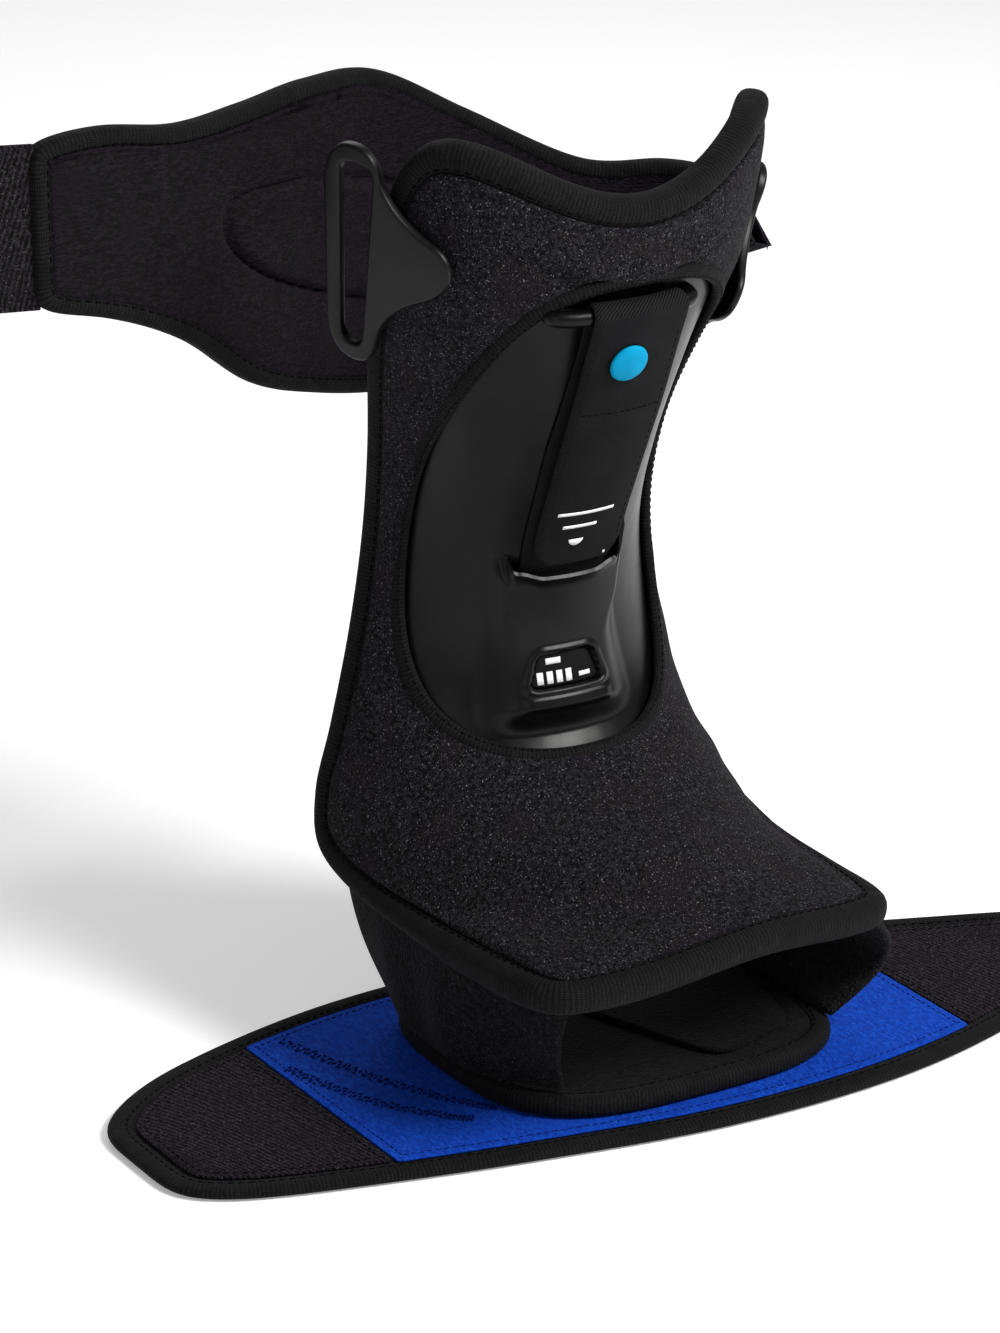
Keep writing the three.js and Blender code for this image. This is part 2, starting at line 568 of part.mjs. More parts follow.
// The strap loops on either side
/** Frame with a slot and a tab that narrows to a round tip, drawn flat: x outward, y up. */
function loopShape() {
  const h = LOOP_H / 2;
  const w = LOOP_W;
  const r = w * 0.42;
  const shape = new THREE.Shape();
  shape.moveTo(w - r, h);
  shape.quadraticCurveTo(w, h, w, h - 1.5 * r);
  shape.lineTo(w - 0.16 * w, -h + 1.3 * r);
  shape.quadraticCurveTo(w - 0.2 * w, -h, w * 0.42, -h);
  shape.quadraticCurveTo(w * 0.12, -h, w * 0.1, -h + 0.9 * r);
  shape.quadraticCurveTo(w * 0.02, -h * 0.42, -LOOP_TAB * 0.5, -h * 0.2);
  shape.quadraticCurveTo(-LOOP_TAB, -h * 0.02, -LOOP_TAB, h * 0.16);
  shape.quadraticCurveTo(-LOOP_TAB, h * 0.36, -LOOP_TAB * 0.62, h * 0.4);
  shape.quadraticCurveTo(0, h * 0.5, w * 0.22, h - 0.8 * r);
  shape.quadraticCurveTo(w * 0.3, h, w - r, h);
  const slot = new THREE.Path();
  const x0 = LOOP_BAR * 0.95 + w * 0.1;
  const x1 = w - LOOP_BAR;
  const y1 = h - LOOP_BAR;
  slot.moveTo(x0 + 3, y1);
  slot.quadraticCurveTo(x1, y1 + 0.6, x1, y1 - 5);
  slot.lineTo(x1 - 0.16 * w, -y1 + 4);
  slot.quadraticCurveTo(x1 - 0.18 * w, -y1, (x0 + x1) / 2 - 0.1 * w, -y1);
  slot.quadraticCurveTo(x0 - 0.5, -y1, x0 - 0.4, -y1 + 5);
  slot.lineTo(x0, y1 - 4);
  slot.quadraticCurveTo(x0, y1, x0 + 3, y1);
  const spread = (path) => {
    const points = path.getPoints(4);
    return points.filter((q, i) => q.distanceTo(points[(i + 1) % points.length]) > 0.05);
  };
  const outline = new THREE.Shape(spread(shape).reverse());
  outline.holes.push(new THREE.Path(spread(slot)));
  return outline;
}

const LOOP_ROW = 0.94;
// Seat of each loop: side, drop along the edge, share across, its slot's place back from the seat, and
// lift off the form, which is round across and hollow along its edge
const LEFT_SEAT = { side: -1, drop: 0, across: 0.9, back: -2.5, lift: 0.3 };
const RIGHT_SEAT = { side: 1, drop: RIGHT_LOOP_DROP, across: 0.81, back: 4.5, lift: 1.6 };
/** Axes and place of a loop on its seat. */
function loopFrame(at) {
  const seat = frameAt(form, LOOP_ROW + at.drop * rowsPerMm, at.side * at.across);
  const up = seat.da.clone().normalize().negate();
  const out = seat.n.clone();
  const back = new THREE.Vector3().crossVectors(out, up).normalize();
  if (back.y < 0) back.negate();
  const place = seat.p.clone().addScaledVector(out, at.lift).addScaledVector(back, at.back);
  return { place, up, out, back };
}

function loopPiece(seat) {
  const bevel = 0.7;
  const flat = new THREE.ExtrudeGeometry(loopShape(), {
    depth: LOOP_T - 2 * bevel, bevelThickness: bevel, bevelSize: bevel, bevelOffset: -bevel,
    bevelSegments: 1, curveSegments: 4,
  });
  flat.translate(0, 2, bevel);
  const f = loopFrame(seat);
  flat.applyMatrix4(new THREE.Matrix4().makeBasis(f.back, f.up, f.out).setPosition(f.place));
  if (new THREE.Vector3().crossVectors(f.back, f.up).dot(f.out) > 0) return flat;
  const turned = mergeVertices(flat.deleteAttribute('normal').deleteAttribute('uv'), 1e-4);
  turned.setIndex(Array.from(turned.getIndex().array).reverse());
  return turned;
}
addPiece('left_loop', loopPiece(LEFT_SEAT), PLASTIC, 0.45);
addPiece('right_loop', loopPiece(RIGHT_SEAT), PLASTIC, 0.45);

// The calf wing
/** Middle of the wing at place u along its table and share b from its lower to its upper edge. */
function wing(u, b) {
  const r = readTable(WING, WING_COLUMNS, u);
  return V(HALF_WIDTH * r.x, HALF_WIDTH * r.y, HEIGHT * lerp(r.bottom, r.top, b));
}
const WING_LAST = WING.length - 1;
const WING_STEPS = 20;
const WING_RISE_STEPS = 6;
const wingOutline = squareLoop(WING_STEPS, WING_RISE_STEPS).map((q) => {
  const [along, up] = roundSquare(q, 12);
  return [(WING_LAST * (1 + along)) / 2, (1 + up) / 2];
});
addPiece('wing_binding', binding(wing, wingOutline, WING_BINDING_W, WING_BINDING_T, 0), BINDING, 0.85);
const wingGrid = fillLoop(insetLoop(wing, wingOutline, WING_BINDING_W + 4 * GAP), WING_STEPS, WING_RISE_STEPS);
addPiece('calf_wing', layer(wing, wingGrid, WING_T / 2, -WING_T / 2), 0x1c1a20, 0.95);

/** The hook strap that carries on from the wing's free end. */
const wingEnd = frameAt(wing, WING_LAST, 0.5);
const endAlong = wingEnd.da.clone().normalize();
const endStart = wing(WING_LAST, 0).addScaledVector(endAlong, GAP + 0.2);
const endTop = wing(WING_LAST, 1).addScaledVector(endAlong, GAP + 0.2);
const endUp = endTop.clone().sub(endStart);
const endHeight = endUp.length();
endUp.normalize();
const endOutline = squareLoop(4, 4).map((q) => {
  const [x, y] = q[0] > 0 ? roundSquare(q, 5) : q;
  return [((1 + x) / 2) * END_STRAP_LENGTH, endHeight * (0.5 + 0.465 * y)];
});
const endStrap = plate(endOutline, -END_STRAP_T / 2, END_STRAP_T);
endStrap.applyMatrix4(new THREE.Matrix4().makeBasis(
  endAlong, endUp, new THREE.Vector3().crossVectors(endAlong, endUp)).setPosition(endStart));
addPiece('wing_end_strap', endStrap, 0x201e24, 0.9);

// The strap folded through the right loop
const rightLoop = loopFrame(RIGHT_SEAT);
/** A place in the right loop's own axes: outward, up and off its plane. */
const inLoop = (back, up, out) => rightLoop.place.clone().addScaledVector(rightLoop.back, back)
  .addScaledVector(rightLoop.up, up).addScaledVector(rightLoop.out, out);
const BAR_SLANT = 0.078; // the outer bar leans back towards its top
const outerBar = LOOP_W - LOOP_BAR / 2 - 1.9;
const foldR = LOOP_BAR / 2 + FOLD_STRAP_T / 2 + 0.6;
const onWing = WING_BINDING_T / 2 + GAP + FOLD_STRAP_T / 2;
const barUp = rightLoop.up.clone().addScaledVector(rightLoop.back, BAR_SLANT).normalize();
const onBar = (degrees, back = 0) => {
  const angle = THREE.MathUtils.degToRad(degrees);
  return inLoop(outerBar + back + foldR * Math.cos(angle), 0, LOOP_T / 2 + foldR * Math.sin(angle));
};
/** Middle of the strap: along the wing's outer face, across to the bar, round it and back inside. */
const foldPath = [0.9, 0.5, 0.15, -0.1].map((u) => raised(wing, u, 0.5, onWing));
const leaves = foldPath[foldPath.length - 1];
foldPath.push(leaves.clone().lerp(onBar(90), 0.45).addScaledVector(rightLoop.out, 2.2));
for (const degrees of [90, 125, 160, 200, 235, 270]) foldPath.push(onBar(degrees));
foldPath.push(onBar(268, 4));
const foldStations = foldPath.map((place, j) => (
  { place, up: V(0, 0, 1).lerp(barUp, smooth(1, 6, j)).normalize() }));
const foldRows = foldStations.map(({ place, up }, j) => {
  const before = foldStations[Math.max(j - 1, 0)].place;
  const after = foldStations[Math.min(j + 1, foldStations.length - 1)].place;
  const along = after.clone().sub(before).normalize();
  const across = up.clone().addScaledVector(along, -up.dot(along)).normalize();
  const normal = new THREE.Vector3().crossVectors(along, across).normalize();
  return [-1, 0, 1].map((f) => [1, -1].map((side) => place.clone()
    .addScaledVector(across, (f * FOLD_STRAP_H) / 2).addScaledVector(normal, (side * FOLD_STRAP_T) / 2)));
});
addPiece('fold_strap', slab(foldRows.map((r) => r.map((c) => c[0])), foldRows.map((r) => r.map((c) => c[1]))),
  0x1e1c22, 0.9);

// The foot strap on the floor
const flat = (x, y) => V(x, y, 0);
/** Place on the foot strap from shares along it and across it (-1 front edge, 1 back edge). */
function strapPlace(along, across, inset = 0) {
  const r = readTable(STRAP_OUTLINE, STRAP_COLUMNS, ((along + 1) / 2) * (STRAP_OUTLINE.length - 1));
  const x = STRAP_SHIFT + STRAP_HALF * r.along;
  return [x, lerp(STRAP_HALF_Y * r.front + inset, STRAP_HALF_Y * r.back - inset, (1 + across) / 2)];
}
const strapOutline = squareLoop(22, 6).map((q) => strapPlace(...roundSquare(q, 5)));
const strapInner = insetLoop(flat, strapOutline, STRAP_BINDING_W + GAP);
addPiece('strap_binding', binding(flat, strapOutline, STRAP_BINDING_W, STRAP_BINDING_T, STRAP_BINDING_T / 2, 6),
  BINDING, 0.85);
addPiece('foot_strap', plate(strapInner, 0, STRAP_T), CLOTH, 0.95);

const liningShare = LINING_HALF / STRAP_HALF;
const middleShare = -STRAP_SHIFT / STRAP_HALF;
/** Part of the strap's upper face between two shares along it. */
function panel(from, to) {
  const steps = 12;
  const outline = [];
  const shareOf = (x) => {
    let low = -1;
    let high = 1;
    for (let k = 0; k < 30; k++) {
      const mid = (low + high) / 2;
      if (strapPlace(mid, 0)[0] < x) low = mid;
      else high = mid;
    }
    return low;
  };
  const place = (f, across) => strapPlace(shareOf(lerp(from, to, f)), across, STRAP_BINDING_W + 1.6);
  for (let k = 0; k <= steps; k++) outline.push(place(k / steps, -1));
  for (let k = steps; k >= 0; k--) outline.push(place(k / steps, 1));
  return outline;
}
const liningLeft = STRAP_SHIFT + STRAP_HALF * (middleShare - liningShare);
const liningRight = STRAP_SHIFT + STRAP_HALF * (middleShare + liningShare);
addPiece('strap_lining', plate(panel(liningLeft, liningRight), STRAP_T + GAP, LINING_T), 0x1e52d4, 0.9);

/** A hook panel: the part of the strap's inner outline beyond the lining, on one side. */
function hookPanel(side, edge) {
  const inner = insetLoop(flat, strapOutline, STRAP_BINDING_W + 1.2);
  const beyond = inner.map((p, i) => ({ p, i })).filter(({ p }) => side * (p[0] - edge) > 4);
  const start = beyond.findIndex(({ i }, k) => {
    const before = beyond[(k + beyond.length - 1) % beyond.length].i;
    return (before + 1) % inner.length !== i;
  });
  const tip = [...beyond.slice(start), ...beyond.slice(0, start)].map(({ p }) => p);
  const first = tip[0];
  const last = tip[tip.length - 1];
  return [...tip, [edge + side * 0.5, last[1]], [edge + side * 0.5, first[1]]];
}
addPiece('left_hook', plate(hookPanel(-1, liningLeft), STRAP_T + GAP, HOOK_T), 0x242028, 0.95);
addPiece('right_hook', plate(hookPanel(1, liningRight), STRAP_T + GAP, HOOK_T), 0x242028, 0.95);

// The foot loop: sole pad, its binding, two side walls and the loose flap
const SOLE_Z = STRAP_T + LINING_T + 2 * GAP;
const soleOutline = squareLoop(11, 10).map((q) => {
  const [x, y] = roundSquare(q, 3.2);
  return [1.5 + SOLE_HALF_X * x, -4 + SOLE_HALF_Y * y - 0.06 * SOLE_HALF_X * x];
});
addPiece('sole_pad', plate(insetLoop(flat, soleOutline, SOLE_BINDING_W + GAP), SOLE_Z, SOLE_T), 0x1c1c20, 0.95);
addPiece('sole_binding', binding(flat, soleOutline, SOLE_BINDING_W, SOLE_BINDING_T,
  SOLE_Z + SOLE_BINDING_T / 2, 6), BINDING, 0.85);

const WALL_FOOT = SOLE_Z + SOLE_BINDING_T + GAP + 0.7; // room for the foot's slant
const WALL_HEAD_GAP = WALL_T * 0.85 + GAP;
/** Place under the edge binding from which a side wall hangs, on side -1 or 1. */
function wallHead(side, row, inset) {
  const f = frameAt(form, row, side);
  const inward = new THREE.Vector3().crossVectors(f.n, f.da).normalize();
  if (inward.x * side > 0) inward.negate();
  return f.p.addScaledVector(inward, inset).addScaledVector(f.n, -BINDING_T - WALL_HEAD_GAP);
}

/** Middle of a side wall on side -1 or 1: u from front to rear, b from foot to head. */
function wallSurface(side, bulge) {
  return (u, b) => {
    const r = readTable(WALL, WALL_COLUMNS, u);
    const foot = V(side * SOLE_HALF_X * r.footX, SOLE_HALF_X * r.footY, WALL_FOOT);
    const place = foot.lerp(wallHead(side, r.headRow, HALF_WIDTH * r.headInset), b);
    place.x += side * bulge * Math.sin(Math.PI * THREE.MathUtils.clamp(b, 0, 1));
    return place;
  };
}
function wallGrid() {
  const rows = [];
  for (let j = 0; j <= 5; j++) {
    const row = [];
    for (let i = 0; i <= 8; i++) row.push([(i / 8) * (WALL.length - 1), j / 5]);
    rows.push(row);
  }
  return rows;
}
addPiece('left_wall', layer(wallSurface(-1, WALL_BULGE_LEFT), wallGrid(), WALL_T / 2, -WALL_T / 2), 0x1e1e22, 0.95);
addPiece('right_wall', layer(wallSurface(1, WALL_BULGE_RIGHT), wallGrid(), WALL_T / 2, -WALL_T / 2), 0x1e1e22, 0.95);

const FLAP_OUTLINE = [[0.190, -0.793], [-0.078, 0.000], [-0.190, 0.536], [0.614, 0.536],
  [0.826, 0.223], [0.838, -0.335], [0.737, -0.659]]; // shares of SOLE_HALF_X
addPiece('inner_flap', plate(FLAP_OUTLINE.map(([x, y]) => [SOLE_HALF_X * x, SOLE_HALF_X * y]),
  SOLE_Z + SOLE_T + GAP, FLAP_T), 0x18181b, 0.95);

export default splint;
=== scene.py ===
"""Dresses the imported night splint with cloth, bindings, a moulded shell, straps and stitches.

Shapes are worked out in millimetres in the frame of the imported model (+Z up, toes towards -Y) and
turned into metres when a mesh is made. The sizes repeat the named sizes of the part.
"""
from __future__ import annotations

import logging
import math
from dataclasses import dataclass, field
from enum import Enum
from typing import Callable, Sequence

import bmesh
import bpy
import numpy as np
from mathutils import Matrix, Vector

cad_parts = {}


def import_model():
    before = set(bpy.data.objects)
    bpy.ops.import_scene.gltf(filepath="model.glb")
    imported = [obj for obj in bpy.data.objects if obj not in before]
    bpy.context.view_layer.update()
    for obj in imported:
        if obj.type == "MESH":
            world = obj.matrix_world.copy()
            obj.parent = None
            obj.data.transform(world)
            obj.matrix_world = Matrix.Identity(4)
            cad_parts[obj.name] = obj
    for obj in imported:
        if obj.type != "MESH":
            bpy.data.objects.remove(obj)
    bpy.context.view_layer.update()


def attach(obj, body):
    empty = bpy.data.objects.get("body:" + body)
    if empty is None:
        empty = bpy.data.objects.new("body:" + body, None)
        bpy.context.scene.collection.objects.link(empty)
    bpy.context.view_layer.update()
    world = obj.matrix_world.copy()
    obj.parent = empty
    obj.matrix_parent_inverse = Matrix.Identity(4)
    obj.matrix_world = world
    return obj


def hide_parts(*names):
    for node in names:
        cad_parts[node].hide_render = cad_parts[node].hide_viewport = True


LOG = logging.getLogger("splint")
MM = 0.001
Colour = tuple[float, float, float]
Surface = Callable[[np.ndarray, np.ndarray], np.ndarray]
Relief = Callable[[np.ndarray], np.ndarray]

# Height and half width of the splint, the form's half angle and the clearance between pieces
HEIGHT = 296.0
HALF_WIDTH = 67.0
ARC = math.radians(80)
GAP = 0.3
# Longest step of an inset, and how far from a strap's edge its sewn line runs
INSET_STEP = 1.5
SEW_IN = 2.6
# How far the toe edge has bent up along its sides, and what its middle adds
TOE_BOW = (2.6, 3.8)


# Tables and surfaces


@dataclass(frozen=True)
class Sections:
    """A table of sections, read with a Catmull-Rom curve and in a straight line past its ends."""

    rows: tuple[tuple[float, ...], ...]

    def at(self, u: np.ndarray) -> np.ndarray:
        """Reads the table.

        Args:
            u: Places along the table, in rows.

        Returns:
            One row of values for each place.
        """
        table = np.array(self.rows)
        last = len(table) - 1
        inside = np.clip(u, 0, last)
        i = np.minimum(inside.astype(int), last - 1)
        f = (inside - i)[..., None]
        b, c = table[i], table[i + 1]
        a = np.where((i > 0)[..., None], table[np.maximum(i - 1, 0)], 2 * b - c)
        d = np.where((i + 2 <= last)[..., None], table[np.minimum(i + 2, last)], 2 * c - b)
        square, cube = 2 * a - 5 * b + 4 * c - d, 3 * b - a - 3 * c + d
        slope = 0.5 * (c - a + 2 * square * f + 3 * cube * f**2)
        here = 0.5 * (2 * b + (c - a) * f + square * f**2 + cube * f**3)
        return here + slope * (u - inside)[..., None]

    def curve(self, steps: int) -> np.ndarray:
        """Reads the whole table in even steps."""
        return self.at(np.linspace(0, len(self.rows) - 1, steps))


# Crest y and z and edge y and z as shares of HEIGHT, half width as a share of HALF_WIDTH
PROFILE = Sections((
    (-0.091, 0.990, 0.062, 1.007, 0.990),
    (-0.061, 0.838, 0.098, 0.858, 0.964),
    (-0.030, 0.730, 0.149, 0.747, 0.851),
    (0.007, 0.628, 0.182, 0.642, 0.769),
    (0.044, 0.527, 0.198, 0.541, 0.761),
    (0.057, 0.429, 0.201, 0.439, 0.828),
    (0.030, 0.345, 0.204, 0.341, 0.922),
    (-0.037, 0.294, 0.206, 0.264, 1.007),
    (-0.105, 0.267, 0.172, 0.209, 1.067),
    (-0.155, 0.236, 0.071, 0.182, 1.064),
    (-0.199, 0.213, -0.068, 0.182, 1.052),
    (-0.253, 0.186, -0.213, 0.196, 1.045),
))
# Place of the calf wing: x and y as shares of HALF_WIDTH, bottom and top of HEIGHT
WING = Sections((
    (1.265, 0.940, 0.690, 0.862),
    (1.110, 1.170, 0.680, 0.861),
    (0.770, 1.350, 0.665, 0.864),
    (0.210, 1.463, 0.646, 0.930),
    (-0.310, 1.410, 0.646, 0.990),
    (-0.750, 1.280, 0.669, 1.000),
    (-1.140, 1.170, 0.702, 0.993),
    (-1.520, 1.090, 0.766, 0.988),
    (-1.900, 1.050, 0.805, 1.000),
    (-2.270, 1.045, 0.821, 1.000),
))
# Foot strap: place along it as a share of its half length, front and back edge of its half width
STRAP = Sections((
    (-1.000, -0.480, 0.570),
    (-0.764, -0.630, 0.790),
    (-0.420, -0.866, 0.955),
    (-0.063, -1.060, 0.925),
    (0.293, -1.090, 0.716),
    (0.626, -0.940, 0.328),
    (1.000, -0.627, -0.030),
))
# Side walls: foot x and y as shares of the sole's half width, row of the head and its seat inwards
WALL_REST = (
    (0.949, 0.100, 9.250, 0.075),
    (0.916, 0.436, 8.600, 0.075),
    (0.798, 0.715, 7.800, 0.075),
)
LEFT_WALL = Sections(((0.672, -0.667, 10.660, 0.420), (0.925, -0.268, 9.900, 0.110), *WALL_REST))
RIGHT_WALL = Sections(((0.945, -0.715, 10.840, 0.130), (0.965, -0.268, 9.900, 0.085), *WALL_REST))


def smooth(low: float | np.ndarray, high: float | np.ndarray, x: np.ndarray) -> np.ndarray:
    """Smooth step of x, from 0 at low to 1 at high."""
    f = np.clip((x - low) / (high - low), 0, 1)
    return f * f * (3 - 2 * f)


def mix(a: float | np.ndarray, b: float | np.ndarray, f: float | np.ndarray) -> np.ndarray:
    """Goes from a to b by the share f."""
    return a + (b - a) * f


def bell(x: np.ndarray, width: float) -> np.ndarray:
    """Bell curve of x, 1 at its middle."""
    return np.exp(-((x / width) ** 2))


def unit(v: np.ndarray) -> np.ndarray:
    """Vectors made one long."""
    return v / np.maximum(np.linalg.norm(v, axis=-1, keepdims=True), 1e-12)


def toe_wave(s: np.ndarray, t: np.ndarray) -> np.ndarray:
    """How far the soft front edge over the toes has bent up, which is most right of its middle."""
    bow = TOE_BOW[0] + TOE_BOW[1] * bell(t - 0.12, 0.32)
    return bow * smooth(8.6, 11, s) * (1 - smooth(0.5, 1.0, t))


def form(s: np.ndarray, t: np.ndarray) -> np.ndarray:
    """Outer face of the shin and instep form at row s and share t across it (-1 left, 1 right)."""
    r = PROFILE.at(np.asarray(s, float))
    across = np.sin(ARC * t) / math.sin(ARC)
    back = (1 - np.cos(ARC * t)) / (1 - math.cos(ARC))
    y = HEIGHT * mix(r[..., 0], r[..., 2], back)
    z = HEIGHT * mix(r[..., 1], r[..., 3], back) + toe_wave(s, t)
    return np.stack([HALF_WIDTH * r[..., 4] * across, y, z], -1)


def wing(u: np.ndarray, b: np.ndarray) -> np.ndarray:
    """Middle of the calf wing at place u along its table and share b from lower to upper edge."""
    r = WING.at(np.asarray(u, float))
    return np.stack([HALF_WIDTH * r[..., 0], HALF_WIDTH * r[..., 1],
                     HEIGHT * mix(r[..., 2], r[..., 3], b)], -1)


def flat(x: np.ndarray, y: np.ndarray) -> np.ndarray:
    """The floor."""
    return np.stack([x, y, np.zeros_like(x)], -1)


@dataclass(frozen=True)
class Plane:
    """A flat surface with its own origin and two axes."""

    origin: np.ndarray
    along: np.ndarray
    up: np.ndarray

    def __call__(self, x: np.ndarray, y: np.ndarray) -> np.ndarray:
        return self.origin + x[..., None] * self.along + y[..., None] * self.up


@dataclass(frozen=True)
class Seat:
    """Places on a surface with the slopes along its two directions and the normals there."""

    place: np.ndarray
    da: np.ndarray
    db: np.ndarray
    normal: np.ndarray

    @classmethod
    def on(cls, surface: Surface, q: np.ndarray) -> Seat:
        """Works out the seats at surface places q, shaped (..., 2)."""
        e = 1e-3
        a, b = q[..., 0], q[..., 1]
        da = (surface(a + e, b) - surface(a - e, b)) / (2 * e)
        db = (surface(a, b + e) - surface(a, b - e)) / (2 * e)
        return cls(surface(a, b), da, db, unit(np.cross(da, db)))

    def lifted(self, offset: float | np.ndarray) -> np.ndarray:
        """The places moved along their normals."""
        return self.place + self.normal * np.asarray(offset, float)[..., None]


def square_loop(nx: int, ny: int) -> np.ndarray:
    """Points once round the unit square, anticlockwise, nx steps along and ny steps up."""
    x = np.linspace(-1, 1, nx, endpoint=False)
    y = np.linspace(-1, 1, ny, endpoint=False)
    sides = [np.stack([x, -np.ones(nx)], -1), np.stack([np.ones(ny), y], -1)]
    return np.concatenate([*sides, *[-side for side in sides]])


def round_square(q: np.ndarray, power: float) -> np.ndarray:
    """Rounds the corners of the unit square into a superellipse."""
    m = np.maximum(np.abs(q).max(-1, keepdims=True), 1e-9)
    return q * (np.abs(q / m) ** power).sum(-1, keepdims=True) ** (-1 / power)


def inward(surface: Surface, loop: np.ndarray) -> tuple[Seat, np.ndarray]:
    """Seats along a closed loop and the directions in the surface towards its inside."""
    seat = Seat.on(surface, loop)
    along = unit(np.roll(seat.place, -1, 0) - np.roll(seat.place, 1, 0))
    return seat, unit(np.cross(seat.normal, along))


def inset(surface: Surface, loop: np.ndarray, distance: float) -> np.ndarray:
    """The loop moved inwards along the surface by a distance in millimetres."""
    steps = max(1, math.ceil(abs(distance) / INSET_STEP))
    for _ in range(steps):
        seat, side = inward(surface, loop)
        aa, ab, bb = (np.sum(p * q, -1) for p, q in
                      ((seat.da, seat.da), (seat.da, seat.db), (seat.db, seat.db)))
        ra = np.sum(seat.da * side, -1) * distance / steps
        rb = np.sum(seat.db * side, -1) * distance / steps
        det = aa * bb - ab * ab
        loop = loop + np.stack([(ra * bb - rb * ab) / det, (rb * aa - ra * ab) / det], -1)
        loop = 0.8 * loop + 0.1 * (np.roll(loop, 1, 0) + np.roll(loop, -1, 0))
    return loop


def fill(loop: np.ndarray, nx: int, ny: int) -> np.ndarray:
    """A grid of places inside a loop of 2 (nx + ny) points, from its four sides."""
    n = len(loop)
    low, right = loop[:nx + 1], loop[nx:nx + ny + 1]
    high = loop[(2 * nx + ny - np.arange(nx + 1)) % n]
    left = loop[(2 * nx + 2 * ny - np.arange(ny + 1)) % n]
    u = np.linspace(0, 1, nx + 1)[None, :, None]
    v = np.linspace(0, 1, ny + 1)[:, None, None]
    sides = mix(low[None], high[None], v) + mix(left[:, None], right[:, None], u)
    return sides - mix(mix(low[0], low[-1], u), mix(high[0], high[-1], u), v)


def resample(path: np.ndarray, pitch: float, closed: bool = False) -> tuple[np.ndarray, np.ndarray]:
    """Even steps along a path.

    Args:
        path: Points, or points with further columns, one a row.
        pitch: Length of a step in millimetres.
        closed: Whether the path's end joins its start.

    Returns:
        The rows at the steps and the unit directions of the path there.
    """
    line = np.concatenate([path, path[:1]]) if closed else path
    run = np.concatenate([[0], np.cumsum(np.linalg.norm(np.diff(line[:, :3], axis=0), axis=-1))])
    count = max(2, round(run[-1] / pitch))
    places = (np.arange(count) + 0.5) * run[-1] / count
    rows = np.stack([np.interp(places, run, column) for column in line.T], -1)
    ahead = np.stack([np.interp(places + 0.3, run, column) for column in line[:, :3].T], -1)
    behind = np.stack([np.interp(places - 0.3, run, column) for column in line[:, :3].T], -1)
    return rows, unit(ahead - behind)


# Shader maths


def linear(colour: Colour) -> tuple[float, float, float, float]:
    """A display colour, 0 to 255, as the linear colour that a shader takes."""
    r, g, b = (c / 255 for c in colour)
    r, g, b = (c / 12.92 if c <= 0.04045 else ((c + 0.055) / 1.055) ** 2.4 for c in (r, g, b))
    return (r, g, b, 1.0)


def node_in(tree: bpy.types.NodeTree, kind: str, settings: dict | None = None,
            inputs: dict | None = None) -> bpy.types.Node:
    """Adds a node to a shader or geometry tree.

    Args:
        tree: The tree.
        kind: The node's type.
        settings: Its properties by name, which are set first.
        inputs: Its sockets by name or place, with a value, a socket or a plain setting each.

    Returns:
        The node.
    """
    node = tree.nodes.new(kind)
    for key, item in (settings or {}).items():
        setattr(node, key, item)
    for key, item in (inputs or {}).items():
        source = item.socket if isinstance(item, Value) else item
        if isinstance(source, bpy.types.NodeSocket):
            tree.links.new(source, node.inputs[key])
        else:
            node.inputs[key].default_value = source
    return node


class Value:
    """One value in a shader, whose arithmetic is written as nodes."""

    def __init__(self, tree: bpy.types.NodeTree, socket: bpy.types.NodeSocket) -> None:
        self.tree = tree
        self.socket = socket

    def math(self, operation: str, other: Value | float = 0.0, flip: bool = False) -> Value:
        """Adds a Math node on this value and another."""
        pair = (other, self) if flip else (self, other)
        node = node_in(self.tree, "ShaderNodeMath", {"operation": operation}, dict(enumerate(pair)))
        return Value(self.tree, node.outputs[0])

    def __add__(self, other: Value | float) -> Value:
        return self.math("ADD", other)

    def __radd__(self, other: float) -> Value:
        return self.math("ADD", other, True)

    def __sub__(self, other: Value | float) -> Value:
        return self.math("SUBTRACT", other)

    def __rsub__(self, other: float) -> Value:
        return self.math("SUBTRACT", other, True)

    def __mul__(self, other: Value | float) -> Value:
        return self.math("MULTIPLY", other)

    def __rmul__(self, other: float) -> Value:
        return self.math("MULTIPLY", other, True)

    def __truediv__(self, other: Value | float) -> Value:
        return self.math("DIVIDE", other)

    def __pow__(self, other: Value | float) -> Value:
        return self.math("POWER", other)

    def step(self, low: float, high: float) -> Value:
        """Smooth step of the value between two bounds."""
        node = node_in(self.tree, "ShaderNodeMapRange", {"interpolation_type": "SMOOTHSTEP"},
                       {"Value": self, "From Min": low, "From Max": high})
        return Value(self.tree, node.outputs[0])


